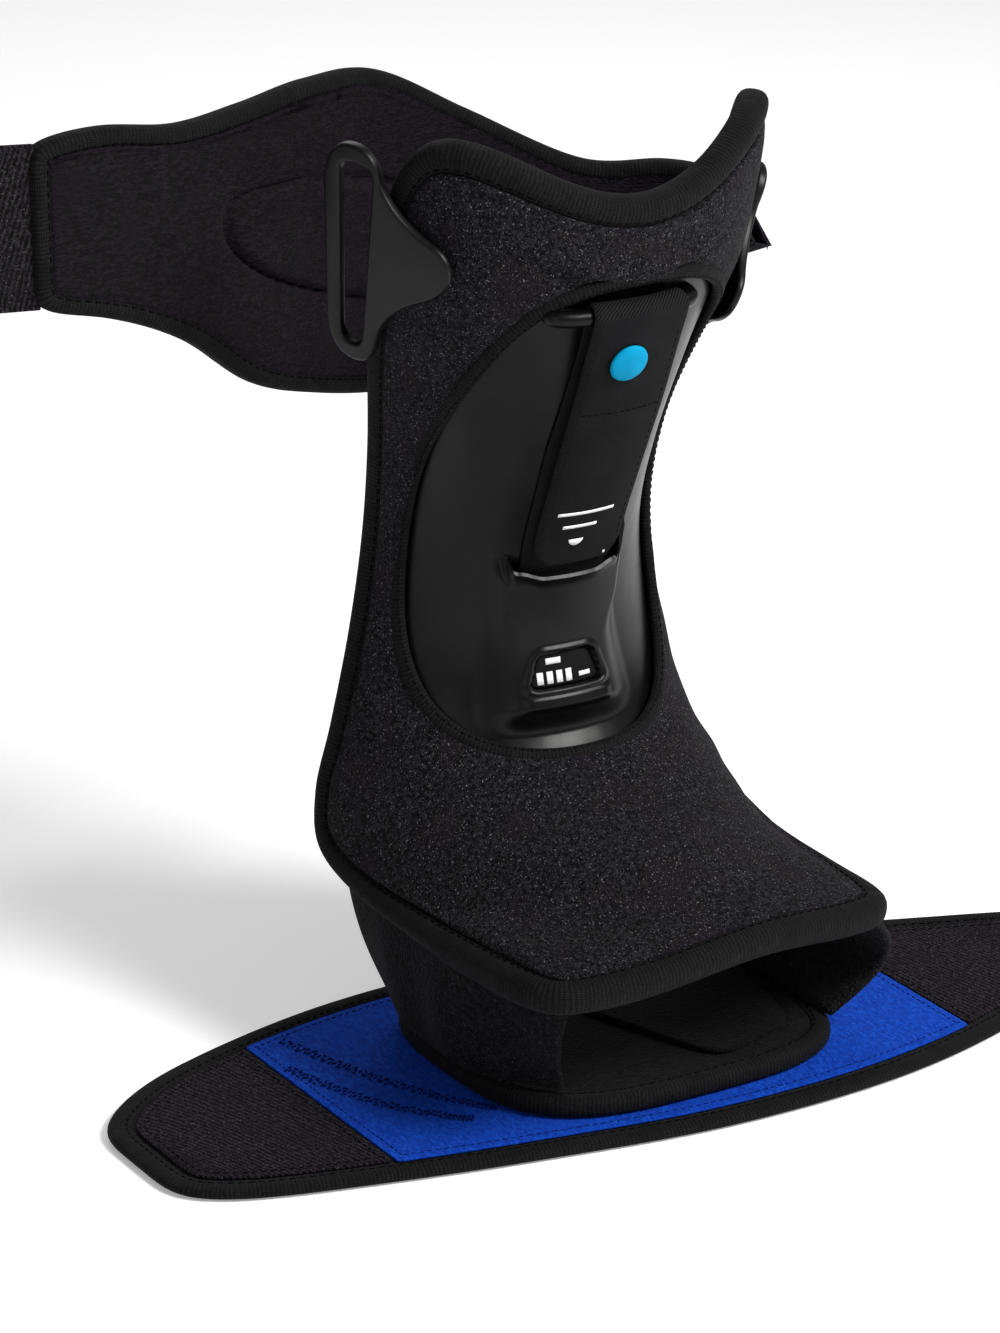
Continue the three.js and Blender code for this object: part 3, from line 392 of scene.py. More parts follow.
class Shader:
    """A material under construction."""

    def __init__(self, name: str) -> None:
        self.material = bpy.data.materials.new(name)
        self.material.use_nodes = True
        self.tree = self.material.node_tree
        self.tree.nodes.clear()
        output = self.tree.nodes.new("ShaderNodeOutputMaterial")
        self.body = self.tree.nodes.new("ShaderNodeBsdfPrincipled")
        self.tree.links.new(self.body.outputs[0], output.inputs["Surface"])

    def node(self, kind: str, settings: dict | None = None, inputs: dict | None = None,
             output: int | str = 0) -> Value:
        """Adds any node.

        Args:
            kind: The node's type.
            settings: Its properties by name.
            inputs: Its sockets by name or place, with a value or a plain setting each.
            output: The output that is read.

        Returns:
            The value of that output.
        """
        return Value(self.tree, node_in(self.tree, kind, settings, inputs).outputs[output])

    def place(self) -> Value:
        """Object coordinates, in metres."""
        return self.node("ShaderNodeTexCoord", output="Object")

    def scaled(self, vector: Value, scale: Sequence[float]) -> Value:
        """A vector multiplied on its axes, as for a grain that is drawn out one way."""
        return self.node("ShaderNodeVectorMath", {"operation": "MULTIPLY"},
                         {0: vector, 1: tuple(scale)})

    def uv(self) -> tuple[Value, Value]:
        """The two lengths along the piece's own surface, in metres."""
        where = self.node("ShaderNodeUVMap", {"uv_map": "UVMap"})
        return (self.node("ShaderNodeSeparateXYZ", inputs={0: where}, output=0),
                self.node("ShaderNodeSeparateXYZ", inputs={0: where}, output=1))

    def noise(self, size: float, detail: float = 2.0, vector: Value | None = None) -> Value:
        """Soft noise with features of a size in millimetres."""
        inputs = {"Vector": vector or self.place(), "Scale": 1 / (size * MM), "Detail": detail}
        return self.node("ShaderNodeTexNoise", inputs=inputs)

    def cells(self, size: float, vector: Value | None = None) -> Value:
        """Distance to the nearest of scattered points, for loops and hooks of a size."""
        inputs = {"Vector": vector or self.place(), "Scale": 1 / (size * MM)}
        return self.node("ShaderNodeTexVoronoi", {"feature": "F1"}, inputs)

    def wave(self, run: Value, pitch: float) -> Value:
        """A wave from 0 to 1 along a length, with a pitch in millimetres."""
        return (run * (2 * math.pi / (pitch * MM))).math("SINE") * 0.5 + 0.5

    def blend(self, factor: Value, a: Colour | Value, b: Colour | Value) -> Value:
        """A colour between two others."""
        inputs = {0: factor, 6: a if isinstance(a, Value) else linear(a),
                  7: b if isinstance(b, Value) else linear(b)}
        return self.node("ShaderNodeMix", {"data_type": "RGBA"}, inputs, 2)

    def bump(self, height: Value, depth: float, normal: Value | None = None) -> Value:
        """A normal bent by a height from 0 to 1 that stands for a depth in millimetres."""
        inputs = {"Height": height, "Distance": depth * MM, "Strength": 1.0}
        if normal:
            inputs["Normal"] = normal
        return self.node("ShaderNodeBump", inputs=inputs)

    def finish(self, colour: Value | Colour, roughness: Value | float, normal: Value | None = None,
               **plain: float) -> bpy.types.Material:
        """Sets the surface.

        Args:
            colour: Its base colour.
            roughness: Its roughness.
            normal: Its bent normal, if it has one.
            plain: Even settings by socket name, with _ for a space.

        Returns:
            The finished material.
        """
        varying = {"Base Color": colour, "Roughness": roughness, "Normal": normal}
        for key, item in varying.items():
            if isinstance(item, Value):
                self.tree.links.new(item.socket, self.body.inputs[key])
            elif isinstance(item, tuple):
                self.body.inputs[key].default_value = linear(item)
            elif item is not None:
                self.body.inputs[key].default_value = item
        for key, item in plain.items():
            self.body.inputs[key.replace("_", " ")].default_value = item
        return self.material


# Finishes


@dataclass(frozen=True)
class Pile:
    """Looped or brushed cloth: small loops, pale flecks of lint with painted glints of the loops,
    and faint patches of another tone.
    """

    name: str
    dark: Colour
    light: Colour
    patch: Colour
    loop: float = 0.8
    depth: float = 0.5
    # Share of pale flecks, which are lint and painted glints of the loops
    lint_glints: float = 0.0
    grain: tuple[float, float, float] = (1.0, 1.0, 1.0)
    sheen: float = 0.15
    rows: float = 0.0

    def make(self) -> bpy.types.Material:
        """Builds the material."""
        s = Shader(self.name)
        where = s.scaled(s.place(), self.grain)
        loops = s.cells(self.loop, where)
        tuft = s.noise(self.loop * 2.2, 3.0, where)
        height = (1 - loops) * 0.6 + tuft * 0.6
        if self.rows:
            around, along = s.uv()
            sway = (s.noise(7, 2.0) - 0.5) * 0.0016
            ribs = s.wave(around + along * 0.35 + sway, self.rows)
            tuft = tuft * 0.75 + ribs * 0.25
            height = height * 0.8 + ribs * 0.4
        patch = s.noise(17, 2.0).step(0.45, 0.72) * 0.6
        shade = s.blend((tuft * 0.95 + (1 - loops) * 0.4).step(0.5, 0.95), self.dark, self.light)
        shade = s.blend(patch, shade, self.patch)
        # Pale flecks: lint, and painted glints of the loops, mixed in towards pale grey
        lint_glint = s.noise(0.62, 1.0, where).step(0.66, 0.74) * self.lint_glints
        shade = s.blend(lint_glint, shade, (132, 130, 136))
        normal = s.bump(height, self.depth, s.bump(s.noise(9, 2.0), 0.35))
        return s.finish(shade, 0.93, normal, Sheen_Weight=self.sheen, Sheen_Roughness=0.4,
                        Specular_IOR_Level=0.12)


@dataclass(frozen=True)
class Ribbed:
    """Folded knit binding with ribs across it."""

    name: str
    dark: Colour
    light: Colour
    pitch: float = 1.25

    def make(self) -> bpy.types.Material:
        """Builds the material."""
        s = Shader(self.name)
        around, along = s.uv()
        sway = (s.noise(5, 2.0) - 0.5) * 0.0014
        ribs = s.wave(along + sway, self.pitch)
        yarn = s.wave(around + sway * 0.5, 0.7) * 0.3 + s.noise(0.45, 2.0) * 0.7
        worn = s.noise(8, 3.0).step(0.4, 0.7) * 0.4
        shade = s.blend((ribs * 0.22 + yarn * 0.7).step(0.3, 0.78), self.dark, self.light)
        shade = s.blend(worn, shade, self.dark)
        normal = s.bump(yarn, 0.2, s.bump(ribs, 0.07, s.bump(s.noise(6, 2.0), 1.1)))
        return s.finish(shade, 0.8, normal, Sheen_Weight=0.01, Specular_IOR_Level=0.09)


@dataclass(frozen=True)
class Twill:
    """Woven webbing with fine slanting ribs."""

    name: str
    dark: Colour
    light: Colour
    pitch: float = 1.0

    def make(self) -> bpy.types.Material:
        """Builds the material."""
        s = Shader(self.name)
        around, along = s.uv()
        slant = s.wave(around * 0.8 + along, self.pitch)
        yarn = s.wave(around, 0.55) * 0.5 + s.noise(0.6, 1.0) * 0.5
        shade = s.blend((slant * 0.6 + yarn * 0.4).step(0.2, 0.9), self.dark, self.light)
        worn = s.noise(12, 3.0).step(0.35, 0.8) * 0.35
        shade = s.blend(worn, shade, self.light)
        normal = s.bump(slant * 0.7 + yarn * 0.3, 0.26)
        return s.finish(shade, 0.8, normal, Specular_IOR_Level=0.07)


@dataclass(frozen=True)
class Moulded:
    """Moulded plastic with a fine grain and a softly uneven gloss."""

    name: str
    colour: Colour
    roughness: float = 0.42
    grain: float = 0.05
    coat: float = 0.0
    mirror: float = 0.5

    def make(self) -> bpy.types.Material:
        """Builds the material."""
        s = Shader(self.name)
        gloss = s.noise(14, 3.0) * 0.12 + (self.roughness - 0.06)
        paler = tuple(min(255.0, c * 1.2 + 3) for c in self.colour)
        shade = s.blend(s.noise(22, 3.0).step(0.35, 0.75), self.colour, paler)
        normal = s.bump(s.noise(0.35, 1.0), self.grain, s.bump(s.noise(11, 1.0), 0.25))
        return s.finish(shade, gloss, normal, Coat_Weight=self.coat, Coat_Roughness=0.2,
                        Specular_IOR_Level=self.mirror)


@dataclass(frozen=True)
class Thread:
    """Twisted sewing thread."""

    name: str
    colour: Colour

    def make(self) -> bpy.types.Material:
        """Builds the material."""
        s = Shader(self.name)
        twist = s.noise(0.4, 1.0)
        paler = tuple(min(255.0, c * 1.5 + 3) for c in self.colour)
        return s.finish(s.blend(twist, self.colour, paler), 0.85, s.bump(twist, 0.1),
                        Specular_IOR_Level=0.06)


@dataclass(frozen=True)
class Matt:
    """A plain matt surface, such as print ink or the floor."""

    name: str
    colour: Colour
    roughness: float = 0.9
    glow: float = 0.0

    def make(self) -> bpy.types.Material:
        """Builds the material."""
        s = Shader(self.name)
        paler = tuple(min(255.0, c * 1.03 + 1) for c in self.colour)
        s.body.inputs["Emission Color"].default_value = (1.0, 1.0, 1.0, 1.0)
        return s.finish(s.blend(s.noise(1.2, 2.0), self.colour, paler), self.roughness,
                        Emission_Strength=self.glow)


class Finish(Enum):
    """Every finish of the splint."""

    COVER = Pile("cover_loops", (2, 2, 4), (38, 37, 40), (23, 16, 27), 0.6, 0.6, 0.5, sheen=0.01)
    BINDING = Ribbed("binding_knit", (5, 5, 6), (29, 29, 30))
    LINER = Pile("liner_knit", (26, 26, 29), (52, 52, 56), (38, 36, 42), 1.1, 0.4, sheen=0.05)
    SHELL = Moulded("shell_gloss", (4, 4, 5), 0.33, 0.02, 0.0, 0.17)
    GAUGE = Moulded("gauge_matt", (3, 3, 4), 0.5, 0.02, 0.0, 0.12)
    WEBBING = Twill("webbing_twill", (7, 7, 8), (32, 32, 34))
    BUTTON = Moulded("button_gloss", (0, 124, 164), 0.5, 0.02, 0.0, 0.06)
    LOOP = Moulded("loop_satin", (6, 6, 7), 0.4, 0.03, 0.0, 0.2)
    WING = Pile("wing_nap", (8, 6, 9), (26, 20, 29), (17, 11, 20), 0.6, 0.5, 0.02,
                (0.45, 0.45, 1.2), 0.01)
    HOOK = Pile("hook_nap", (4, 3, 5), (42, 35, 44), (14, 9, 17), 0.85, 0.9, 0.28,
                sheen=0.0, rows=1.8)
    STRAP = Pile("strap_felt", (14, 14, 16), (36, 36, 39), (27, 25, 29), 0.8, 0.5, sheen=0.04)
    LINING = Pile("blue_nap", (4, 48, 146), (14, 72, 184), (8, 58, 164), 0.6, 0.3, 0.0,
                  (1.0, 0.45, 1.0), 0.0)
    WALL = Pile("wall_felt", (6, 6, 7), (24, 24, 26), (16, 14, 19), 0.9, 0.6, 0.15, sheen=0.02)
    SOLE = Pile("sole_felt", (5, 5, 6), (18, 18, 19), (12, 11, 13), 0.9, 0.5, sheen=0.02)
    THREAD = Thread("dark_thread", (3, 3, 4))
    BLUE_THREAD = Thread("blue_thread", (2, 14, 58))
    INK = Matt("print_ink", (222, 222, 222))
    FLOOR = Matt("floor_paint", (243, 243, 244), glow=0.24)

    def material(self) -> bpy.types.Material:
        """The finish's material, made on its first use."""
        return bpy.data.materials.get(self.value.name) or self.value.make()


# Meshes


@dataclass
class Mesher:
    """Gathers grids of points in millimetres and makes one closed mesh of them in metres."""

    points: list[np.ndarray] = field(default_factory=list)
    faces: list[list[int]] = field(default_factory=list)
    uvs: list[np.ndarray] = field(default_factory=list)
    count: int = 0

    def grid(self, points: np.ndarray, close_rows: bool = False,
             close_cols: bool = False) -> Mesher:
        """Adds a grid of points, whose rows and columns may close on themselves."""
        rows, cols = points.shape[:2]
        index = self.count + np.arange(rows * cols).reshape(rows, cols)
        self.points.append(points.reshape(-1, 3))
        self.count += rows * cols
        if close_rows:
            points, index = np.concatenate([points, points[:1]]), np.vstack([index, index[:1]])
        if close_cols:
            points = np.concatenate([points, points[:, :1]], 1)
            index = np.hstack([index, index[:, :1]])
        step = np.linalg.norm(np.diff(points, axis=0), axis=-1).mean(1)
        down = np.concatenate([[0], np.cumsum(step)])
        step = np.linalg.norm(np.diff(points, axis=1), axis=-1).mean(0)
        along = np.concatenate([[0], np.cumsum(step)])
        uv = np.stack(np.meshgrid(along, down), -1)
        quads, corners = (
            np.stack([table[:-1, :-1], table[:-1, 1:], table[1:, 1:], table[1:, :-1]], 2)
            for table in (index, uv))
        self.faces.extend(quads.reshape(-1, 4).tolist())
        self.uvs.extend(corners.reshape(-1, 4, 2))
        return self

    def cap(self, ring: np.ndarray) -> Mesher:
        """Closes a ring of points with one face."""
        self.points.append(ring)
        self.faces.append(list(range(self.count, self.count + len(ring))))
        self.uvs.append(ring[:, :2] - ring[0, :2])
        self.count += len(ring)
        return self

    def tube(self, rings: np.ndarray) -> Mesher:
        """Adds a tube through rings and closes its two ends."""
        return self.grid(rings, close_cols=True).cap(rings[0]).cap(rings[-1])

    def mesh(self, name: str, sharp: float | None = None) -> bpy.types.Mesh:
        """Welds what was gathered into a mesh whose faces point outwards.

        Args:
            name: The mesh's name.
            sharp: The angle in degrees above which edges are left sharp.

        Returns:
            The mesh, with a UV map of lengths in metres.
        """
        mesh = bpy.data.meshes.new(name)
        mesh.from_pydata((np.concatenate(self.points) * MM).tolist(), [], self.faces)
        layer = mesh.uv_layers.new(name="UVMap")
        layer.data.foreach_set("uv", (np.concatenate(self.uvs) * MM).ravel())
        return tidy(mesh, sharp)

    def place(self, name: str, finish: Finish, *nodes: str,
              sharp: float | None = None) -> bpy.types.Object:
        """Makes the mesh and puts it into the scene as a piece of the same name."""
        return place_piece(name, self.mesh(name, sharp), finish, *nodes)


def tidy(mesh: bpy.types.Mesh, sharp: float | None = None) -> bpy.types.Mesh:
    """Welds a mesh, turns its faces outwards and shades it smooth."""
    work = bmesh.new()
    work.from_mesh(mesh)
    bmesh.ops.remove_doubles(work, verts=work.verts, dist=4e-6)
    bmesh.ops.dissolve_degenerate(work, dist=1e-7, edges=work.edges)
    bmesh.ops.recalc_face_normals(work, faces=work.faces)
    if work.calc_volume(signed=True) < 0:
        bmesh.ops.reverse_faces(work, faces=work.faces)
    work.to_mesh(mesh)
    work.free()
    mesh.shade_smooth()
    if sharp is not None:
        mesh.set_sharp_from_angle(angle=math.radians(sharp))
    return mesh


def add_object(name: str, data: bpy.types.ID) -> bpy.types.Object:
    """Puts data into the scene as an object."""
    thing = bpy.data.objects.new(name, data)
    bpy.context.scene.collection.objects.link(thing)
    return thing


def worked_out(work: bpy.types.Object) -> bpy.types.Mesh:
    """The mesh that an object's curve or modifiers give. The object is removed."""
    bpy.context.view_layer.update()
    shape = work.evaluated_get(bpy.context.evaluated_depsgraph_get())
    mesh = bpy.data.meshes.new_from_object(shape)
    bpy.data.objects.remove(work)
    return mesh


def place_piece(name: str, mesh: bpy.types.Mesh, finish: Finish, *nodes: str) -> bpy.types.Object:
    """Puts a finished mesh into the scene on the splint's one body.

    Args:
        name: The piece's name.
        mesh: Its mesh.
        finish: Its finish.
        nodes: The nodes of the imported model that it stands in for.

    Returns:
        The piece.
    """
    mesh.materials.clear()
    mesh.materials.append(finish.material())
    piece = add_object(name, mesh)
    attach(piece, "root")
    if nodes:
        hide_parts(*nodes)
    LOG.info("%s: %d faces", name, len(mesh.polygons))
    return piece


@dataclass(frozen=True)
class Pad:
    """A closed pad with rolled edges over the inside of a loop on a surface."""

    surface: Surface
    loop: np.ndarray
    steps: tuple[int, int]
    outer: float
    inner: float
    roll: float = 1.0
    relief: Relief | None = None
    under: Relief | None = None

    def mesher(self) -> Mesher:
        """Builds the pad's edge and its two faces."""
        half = (self.outer - self.inner) / 2
        rings = []
        for angle in np.radians(np.linspace(-90, 90, 9)):
            loop = inset(self.surface, self.loop, self.roll * (1 - math.cos(angle)) + 1e-6)
            offset = self.offset(loop, math.sin(angle), half)
            rings.append(Seat.on(self.surface, loop).lifted(offset))
        body = Mesher().grid(np.array(rings), close_cols=True)
        places = fill(inset(self.surface, self.loop, self.roll + 1e-6), *self.steps)
        for side in (1.0, -1.0):
            body.grid(Seat.on(self.surface, places).lifted(self.offset(places, side, half)))
        return body

    def offset(self, q: np.ndarray, side: float, half: float) -> np.ndarray:
        """Height over the surface at places q, side -1 for the under face to 1 for the upper."""
        height = np.full(q.shape[:-1], self.inner + half + half * side)
        if self.relief:
            height = height + self.relief(q) * max(0.0, side)
        if self.under:
            height = height - self.under(q) * max(0.0, -side)
        return height


@dataclass(frozen=True)
class Tube:
    """A rolled binding along the inside of a loop, with a seam pressed in beside its edge."""

    surface: Surface
    loop: np.ndarray
    width: float
    thickness: float
    offset: float
    sides: int = 24
    power: float = 2.6
    seam: float = 0.45
    seam_at: float = 0.52

    def middle(self) -> np.ndarray:
        """The loop along the binding's middle."""
        return inset(self.surface, self.loop, self.width / 2)

    def mesher(self) -> Mesher:
        """Builds the binding."""
        seat, side = inward(self.surface, self.middle())
        angle = np.linspace(0, 2 * math.pi, self.sides, endpoint=False)
        q = np.stack([np.cos(angle), np.sin(angle)], -1)
        q = round_square(q / np.abs(q).max(-1, keepdims=True), self.power)
        press = 1 - 2 * self.seam / self.thickness * bell(q[:, 0] - self.seam_at, 0.12)
        x = (q[:, 0] * self.width / 2)[:, None]
        y = (q[:, 1] * press * self.thickness / 2 + self.offset)[:, None]
        rings = seat.place[:, None] + side[:, None] * x + seat.normal[:, None] * y
        return Mesher().grid(rings, True, True)

    def seams(self) -> list[Row]:
        """The stitched rows on the binding's two faces."""
        seat, side = inward(self.surface, self.middle())
        line = seat.place + side * self.seam_at * self.width / 2
        reach = self.thickness / 2 * 0.955 - self.seam + 0.16
        return [Row(line + seat.normal * (self.offset + face * reach), True) for face in (1, -1)]


@dataclass(frozen=True)
class Strip:
    """A flat strap swept through stations, with rounded edges."""

    places: np.ndarray
    across: np.ndarray
    width: np.ndarray
    thickness: float
    steps: int = 12

    def normals(self) -> np.ndarray:
        """Normals of the strap's face, from its run and its cross direction."""
        run = np.gradient(self.places, axis=0)
        return unit(np.cross(run, self.across))

    def mesher(self) -> Mesher:
        """Builds the strap."""
        x = np.linspace(-1, 1, self.steps)
        turn = np.radians(np.linspace(90, -90, 6))[1:-1]
        share = np.concatenate([x, np.ones(4), x[::-1], -np.ones(4)])
        reach = np.concatenate([x * 0, np.cos(turn), x * 0, -np.cos(turn)])
        lift = np.concatenate([x * 0 + 1, np.sin(turn), x * 0 - 1, -np.sin(turn)])
        half = self.thickness / 2
        side = share[None] * (self.width[:, None] / 2 - half) + reach[None] * half
        rings = (self.places[:, None] + self.across[:, None] * side[..., None]
                 + self.normals()[:, None] * (lift * half)[None, :, None])
        return Mesher().tube(rings)


# Stitches


@dataclass(frozen=True)
class Row:
    """A sewn line through points in millimetres."""

    line: np.ndarray
    closed: bool = False


class Stitch(Enum):
    """Every size of stitch: pitch, length and radius in millimetres."""

    EDGE = (3.2, 2.3, 0.28)
    FLOOR_EDGE = (3.0, 2.1, 0.28)
    HEM = (2.4, 1.7, 0.2)
    WEB_ACROSS = (2.2, 1.7, 0.18)
    WEB_ALONG = (2.6, 1.7, 0.12)
    HOOK = (2.8, 1.9, 0.22)
    FOLD = (2.8, 1.9, 0.2)
    LINING = (2.6, 1.9, 0.17)
    ARC = (2.3, 2.1, 0.36)


@dataclass(frozen=True)
class Sewing:
    """Stitches of one size and thread along any number of rows."""

    name: str
    stitch: Stitch = Stitch.EDGE
    finish: Finish = Finish.THREAD

    def tree(self) -> bpy.types.NodeTree:
        """Geometry nodes that put a stitch on every point, along its own direction."""
        known = bpy.data.node_groups.get("stitches")
        if known:
            return known
        group = bpy.data.node_groups.new("stitches", "GeometryNodeTree")
        for name, kind in (("Geometry", "Geometry"), ("Half length", "Float"), ("Radius", "Float"),
                           ("Thread", "Material")):
            group.interface.new_socket(name, in_out="INPUT", socket_type="NodeSocket" + kind)
        group.interface.new_socket("Geometry", in_out="OUTPUT", socket_type="NodeSocketGeometry")
        start = group.nodes.new("NodeGroupInput").outputs
        ball = node_in(group, "GeometryNodeMeshUVSphere",
                       inputs={"Segments": 6, "Rings": 4, "Radius": 1.0})
        size = node_in(group, "ShaderNodeCombineXYZ",
                       inputs={0: start["Half length"], 1: start["Radius"], 2: start["Radius"]})
        stitch = node_in(group, "GeometryNodeTransform",
                         inputs={"Geometry": ball.outputs["Mesh"], "Scale": size.outputs[0]})
        along = node_in(group, "GeometryNodeInputNamedAttribute", {"data_type": "FLOAT_VECTOR"},
                        {"Name": "along"})
        turn = node_in(group, "FunctionNodeAlignRotationToVector", {"axis": "X"},
                       {"Vector": along.outputs["Attribute"]})
        vary = node_in(group, "FunctionNodeRandomValue", {"data_type": "FLOAT"},
                       {"Seed": 7, 2: 0.88, 3: 1.08})
        every = node_in(group, "GeometryNodeInstanceOnPoints", inputs={
            "Points": start["Geometry"], "Instance": stitch.outputs["Geometry"],
            "Rotation": turn.outputs["Rotation"], "Scale": vary.outputs[1]})
        real = node_in(group, "GeometryNodeRealizeInstances", inputs={"Geometry": every.outputs[0]})
        dyed = node_in(group, "GeometryNodeSetMaterial",
                       inputs={"Geometry": real.outputs[0], "Material": start["Thread"]})
        end = group.nodes.new("NodeGroupOutput")
        group.links.new(dyed.outputs[0], end.inputs[0])
        return group

    def sew(self, rows: Sequence[Row]) -> bpy.types.Object:
        """Sews the rows.

        Args:
            rows: The sewn lines.

        Returns:
            One piece with all their stitches.
        """
        pitch, length, radius = self.stitch.value
        parts = [resample(row.line, pitch, row.closed) for row in rows]
        places = np.concatenate([p[:, :3] for p, _ in parts]) * MM
        along = np.concatenate([a for _, a in parts])
        points = bpy.data.meshes.new(self.name + "_points")
        points.from_pydata(places.tolist(), [], [])
        layer = points.attributes.new("along", "FLOAT_VECTOR", "POINT")
        layer.data.foreach_set("vector", along.astype(np.float32).ravel())
        work = add_object(self.name + "_work", points)
        group = self.tree()
        nodes = work.modifiers.new("stitches", "NODES")
        nodes.node_group = group
        names = {s.name: s.identifier for s in group.interface.items_tree if s.in_out == "INPUT"}
        nodes[names["Half length"]] = length / 2 * MM
        nodes[names["Radius"]] = radius * MM
        nodes[names["Thread"]] = self.finish.material()
        mesh = worked_out(work)
        mesh.name = self.name
        mesh.shade_smooth()
        return place_piece(self.name, mesh, self.finish)


def bind(tube: Tube, node: str, stitch: Stitch = Stitch.EDGE, faces: int = 2) -> bpy.types.Object:
    """Places a rolled binding and sews its seams.

    Args:
        tube: The binding's shape.
        node: The node that it stands in for, whose name its pieces carry on.
        stitch: The stitches of its seams.
        faces: How many of its faces show a seam, the upper one first.

    Returns:
        The binding.
    """
    roll = tube.mesher().place(node + "_roll", Finish.BINDING, node)
    Sewing(node + "_stitches", stitch).sew(tube.seams()[:faces])
    return roll


# The form's layers


class Form:
    """Shared outlines of the shin and instep form."""

    binding_width = 9.3
    cover_thickness = 2.6
    cover_seat = 0.85
    shell_thickness = 2.4
    liner_seat = 1.3
    liner_thickness = 3.6
    shell_out = -(cover_thickness + cover_seat)
    liner_out = shell_out - shell_thickness - liner_seat
    binding_thickness = liner_thickness - liner_out
    steps = (110, 70)
    rim_dip = 0.36
    corner_dip = 0.2
    rim_crest = 0.72
    corners = (12, 7.5)
    row_mm = 31.0
    channel_shift = -3.5

    @classmethod
    def rim_row(cls, t: np.ndarray) -> np.ndarray:
        """Row of the rim's edge at share t across."""
        middle = np.cos(math.pi / 2 * np.minimum(1, np.abs(t) / cls.rim_crest)) ** 2
        corner = np.maximum(0, (np.abs(t) - cls.rim_crest) / (1 - cls.rim_crest)) ** 2
        return cls.rim_dip * middle + cls.corner_dip * corner

    @classmethod
    def outline(cls) -> np.ndarray:
        """Outline of the whole form."""
        q = square_loop(*cls.steps)
        rim, toes = (round_square(q, power) for power in cls.corners)
        q = np.where(q[:, :1] < 0, rim, toes)
        low = cls.rim_row(q[:, 1])
        return np.stack([mix(low, len(PROFILE.rows) - 1, (1 + q[:, 0]) / 2), q[:, 1]], -1)

    @classmethod
    def share_at(cls, s: np.ndarray, x: np.ndarray) -> np.ndarray:
        """Share across at which row s is x millimetres from the middle of the channel."""
        half = HALF_WIDTH * PROFILE.at(np.asarray(s, float))[..., 4]
        return np.arcsin((x + cls.channel_shift) * math.sin(ARC) / half) / ARC

    @classmethod
    def on_channel(cls, s: np.ndarray, x: np.ndarray) -> np.ndarray:
        """Surface places from rows and distances to the middle of the channel."""
        s, x = np.broadcast_arrays(np.asarray(s, float), np.asarray(x, float))
        return np.stack([s, cls.share_at(s, x)], -1)

    @classmethod
    def seat(cls, s: float | np.ndarray, x: float | np.ndarray) -> Seat:
        """Seats on the outer face from rows and distances to the middle of the channel."""
        return Seat.on(form, cls.on_channel(s, x))


@dataclass(frozen=True)
class EdgeBinding:
    """Rolled binding round the whole form."""

    sag: float = 0.15
    thickness: float = 9.7

    def build(self) -> None:
        """Builds the binding and its seams."""
        offset = self.sag - self.thickness / 2
        tube = Tube(form, Form.outline(), Form.binding_width, self.thickness, offset)
        bind(tube, "edge_binding")


@dataclass(frozen=True)
class FrontCover:
    """Looped cloth over the front, with a long opening."""

    middle: float = 3.57
    half: float = 2.62
    across: float = 0.77
    power: float = 2.4
    slant: float = 0.17
    hem: float = 4.4
    hem_thickness: float = 3.7
    ridge: float = 1.3
    puff: float = 0.7
    ripple: float = 0.4
    drape: float = 0.9
    valley: float = 1.5

    def window(self) -> np.ndarray:
        """Outline of the opening."""
        q = round_square(square_loop(*Form.steps), self.power)
        slant = 1 - self.slant * bell(q[:, 0] + 0.74, 0.42) * (q[:, 1] < 0)
        return np.stack([self.middle + self.half * q[:, 0], self.across * slant * q[:, 1]], -1)

    def relief(self, q: np.ndarray, share: float, run: np.ndarray) -> np.ndarray:
        """Height of the outer face: hem, soft ridge under the rim, ripples, drape and one valley.

        Args:
            q: Surface places.
            share: Place from the opening to the outer edge.
            run: Distance between the two there, in millimetres.

        Returns:
            Heights in millimetres.
        """
        s, t = q[:, 0], q[:, 1]
        near = share * run
        hem = 0.25 * (1 - smooth(1.5, self.hem, near)) - 0.8 * bell(near - self.hem, 0.75)
        puff = self.puff * math.sin(math.pi * share) * smooth(2, 9, near)
        below = s - Form.rim_row(t) - 0.42 - 0.1 * np.cos(3 * t)
        ridge = self.ridge * (bell(below, 0.05) - 0.7 * bell(below - 0.1, 0.06))
        ridge *= 1 - smooth(0.75, 0.95, np.abs(t))
        ridge *= math.sin(math.pi * min(1.0, share * 1.4 + 0.1))
        folds = self.ripple * np.sin(2.9 * s + 5.1 * t) * np.sin(4.3 * s - 3.7 * t)
        folds += self.drape * np.sin(2.3 * s - 4.2 * t + 0.8) * smooth(6, 7.5, s)
        folds -= self.valley * bell(t - 0.02 * s - 0.5, 0.07) * smooth(6.8, 8, s)
        folds *= smooth(4, 12, near) * (1 - smooth(0.88, 0.99, np.float64(share)))
        return hem + puff + ridge + folds

    def build(self) -> None:
        """Builds the cover and the stitches of its hem."""
        inner = self.window()
        outer = inset(form, Form.outline(), Form.binding_width + GAP - 1.2)
        run = np.linalg.norm(Seat.on(form, inner).place - Seat.on(form, outer).place, axis=-1)
        top = [(0.0, -0.5), (0.004, -0.22), (0.014, -0.08), (0.03, 0.0)]
        top += [(f, 0.0) for f in np.linspace(0.06, 0.97, 30)] + [(1.0, -0.12), (1.0, -0.5)]
        profile = [(f, o, 1.0) for f, o in top] + [(f, -1 - o, 0.0) for f, o in top[::-1]]
        rings = []
        for share, offset, face in profile[:-1]:
            loop = mix(inner, outer, share)
            height = offset * Form.cover_thickness + face * self.relief(loop, share, run)
            rings.append(Seat.on(form, loop).lifted(height))
        piece = Mesher().grid(np.array(rings), True, True).place(
            "front_cover_cloth", Finish.COVER, "front_cover")
        hem = Tube(form, inset(form, inner, -self.hem), self.hem + 0.6, self.hem_thickness,
                   0.55 - self.hem_thickness / 2, sides=16, power=2.2, seam=0.25)
        tape = hem.mesher().place("cover_hem", Finish.BINDING)
        sewn = Sewing("cover_hem_stitches", Stitch.HEM).sew(hem.seams()[:1])


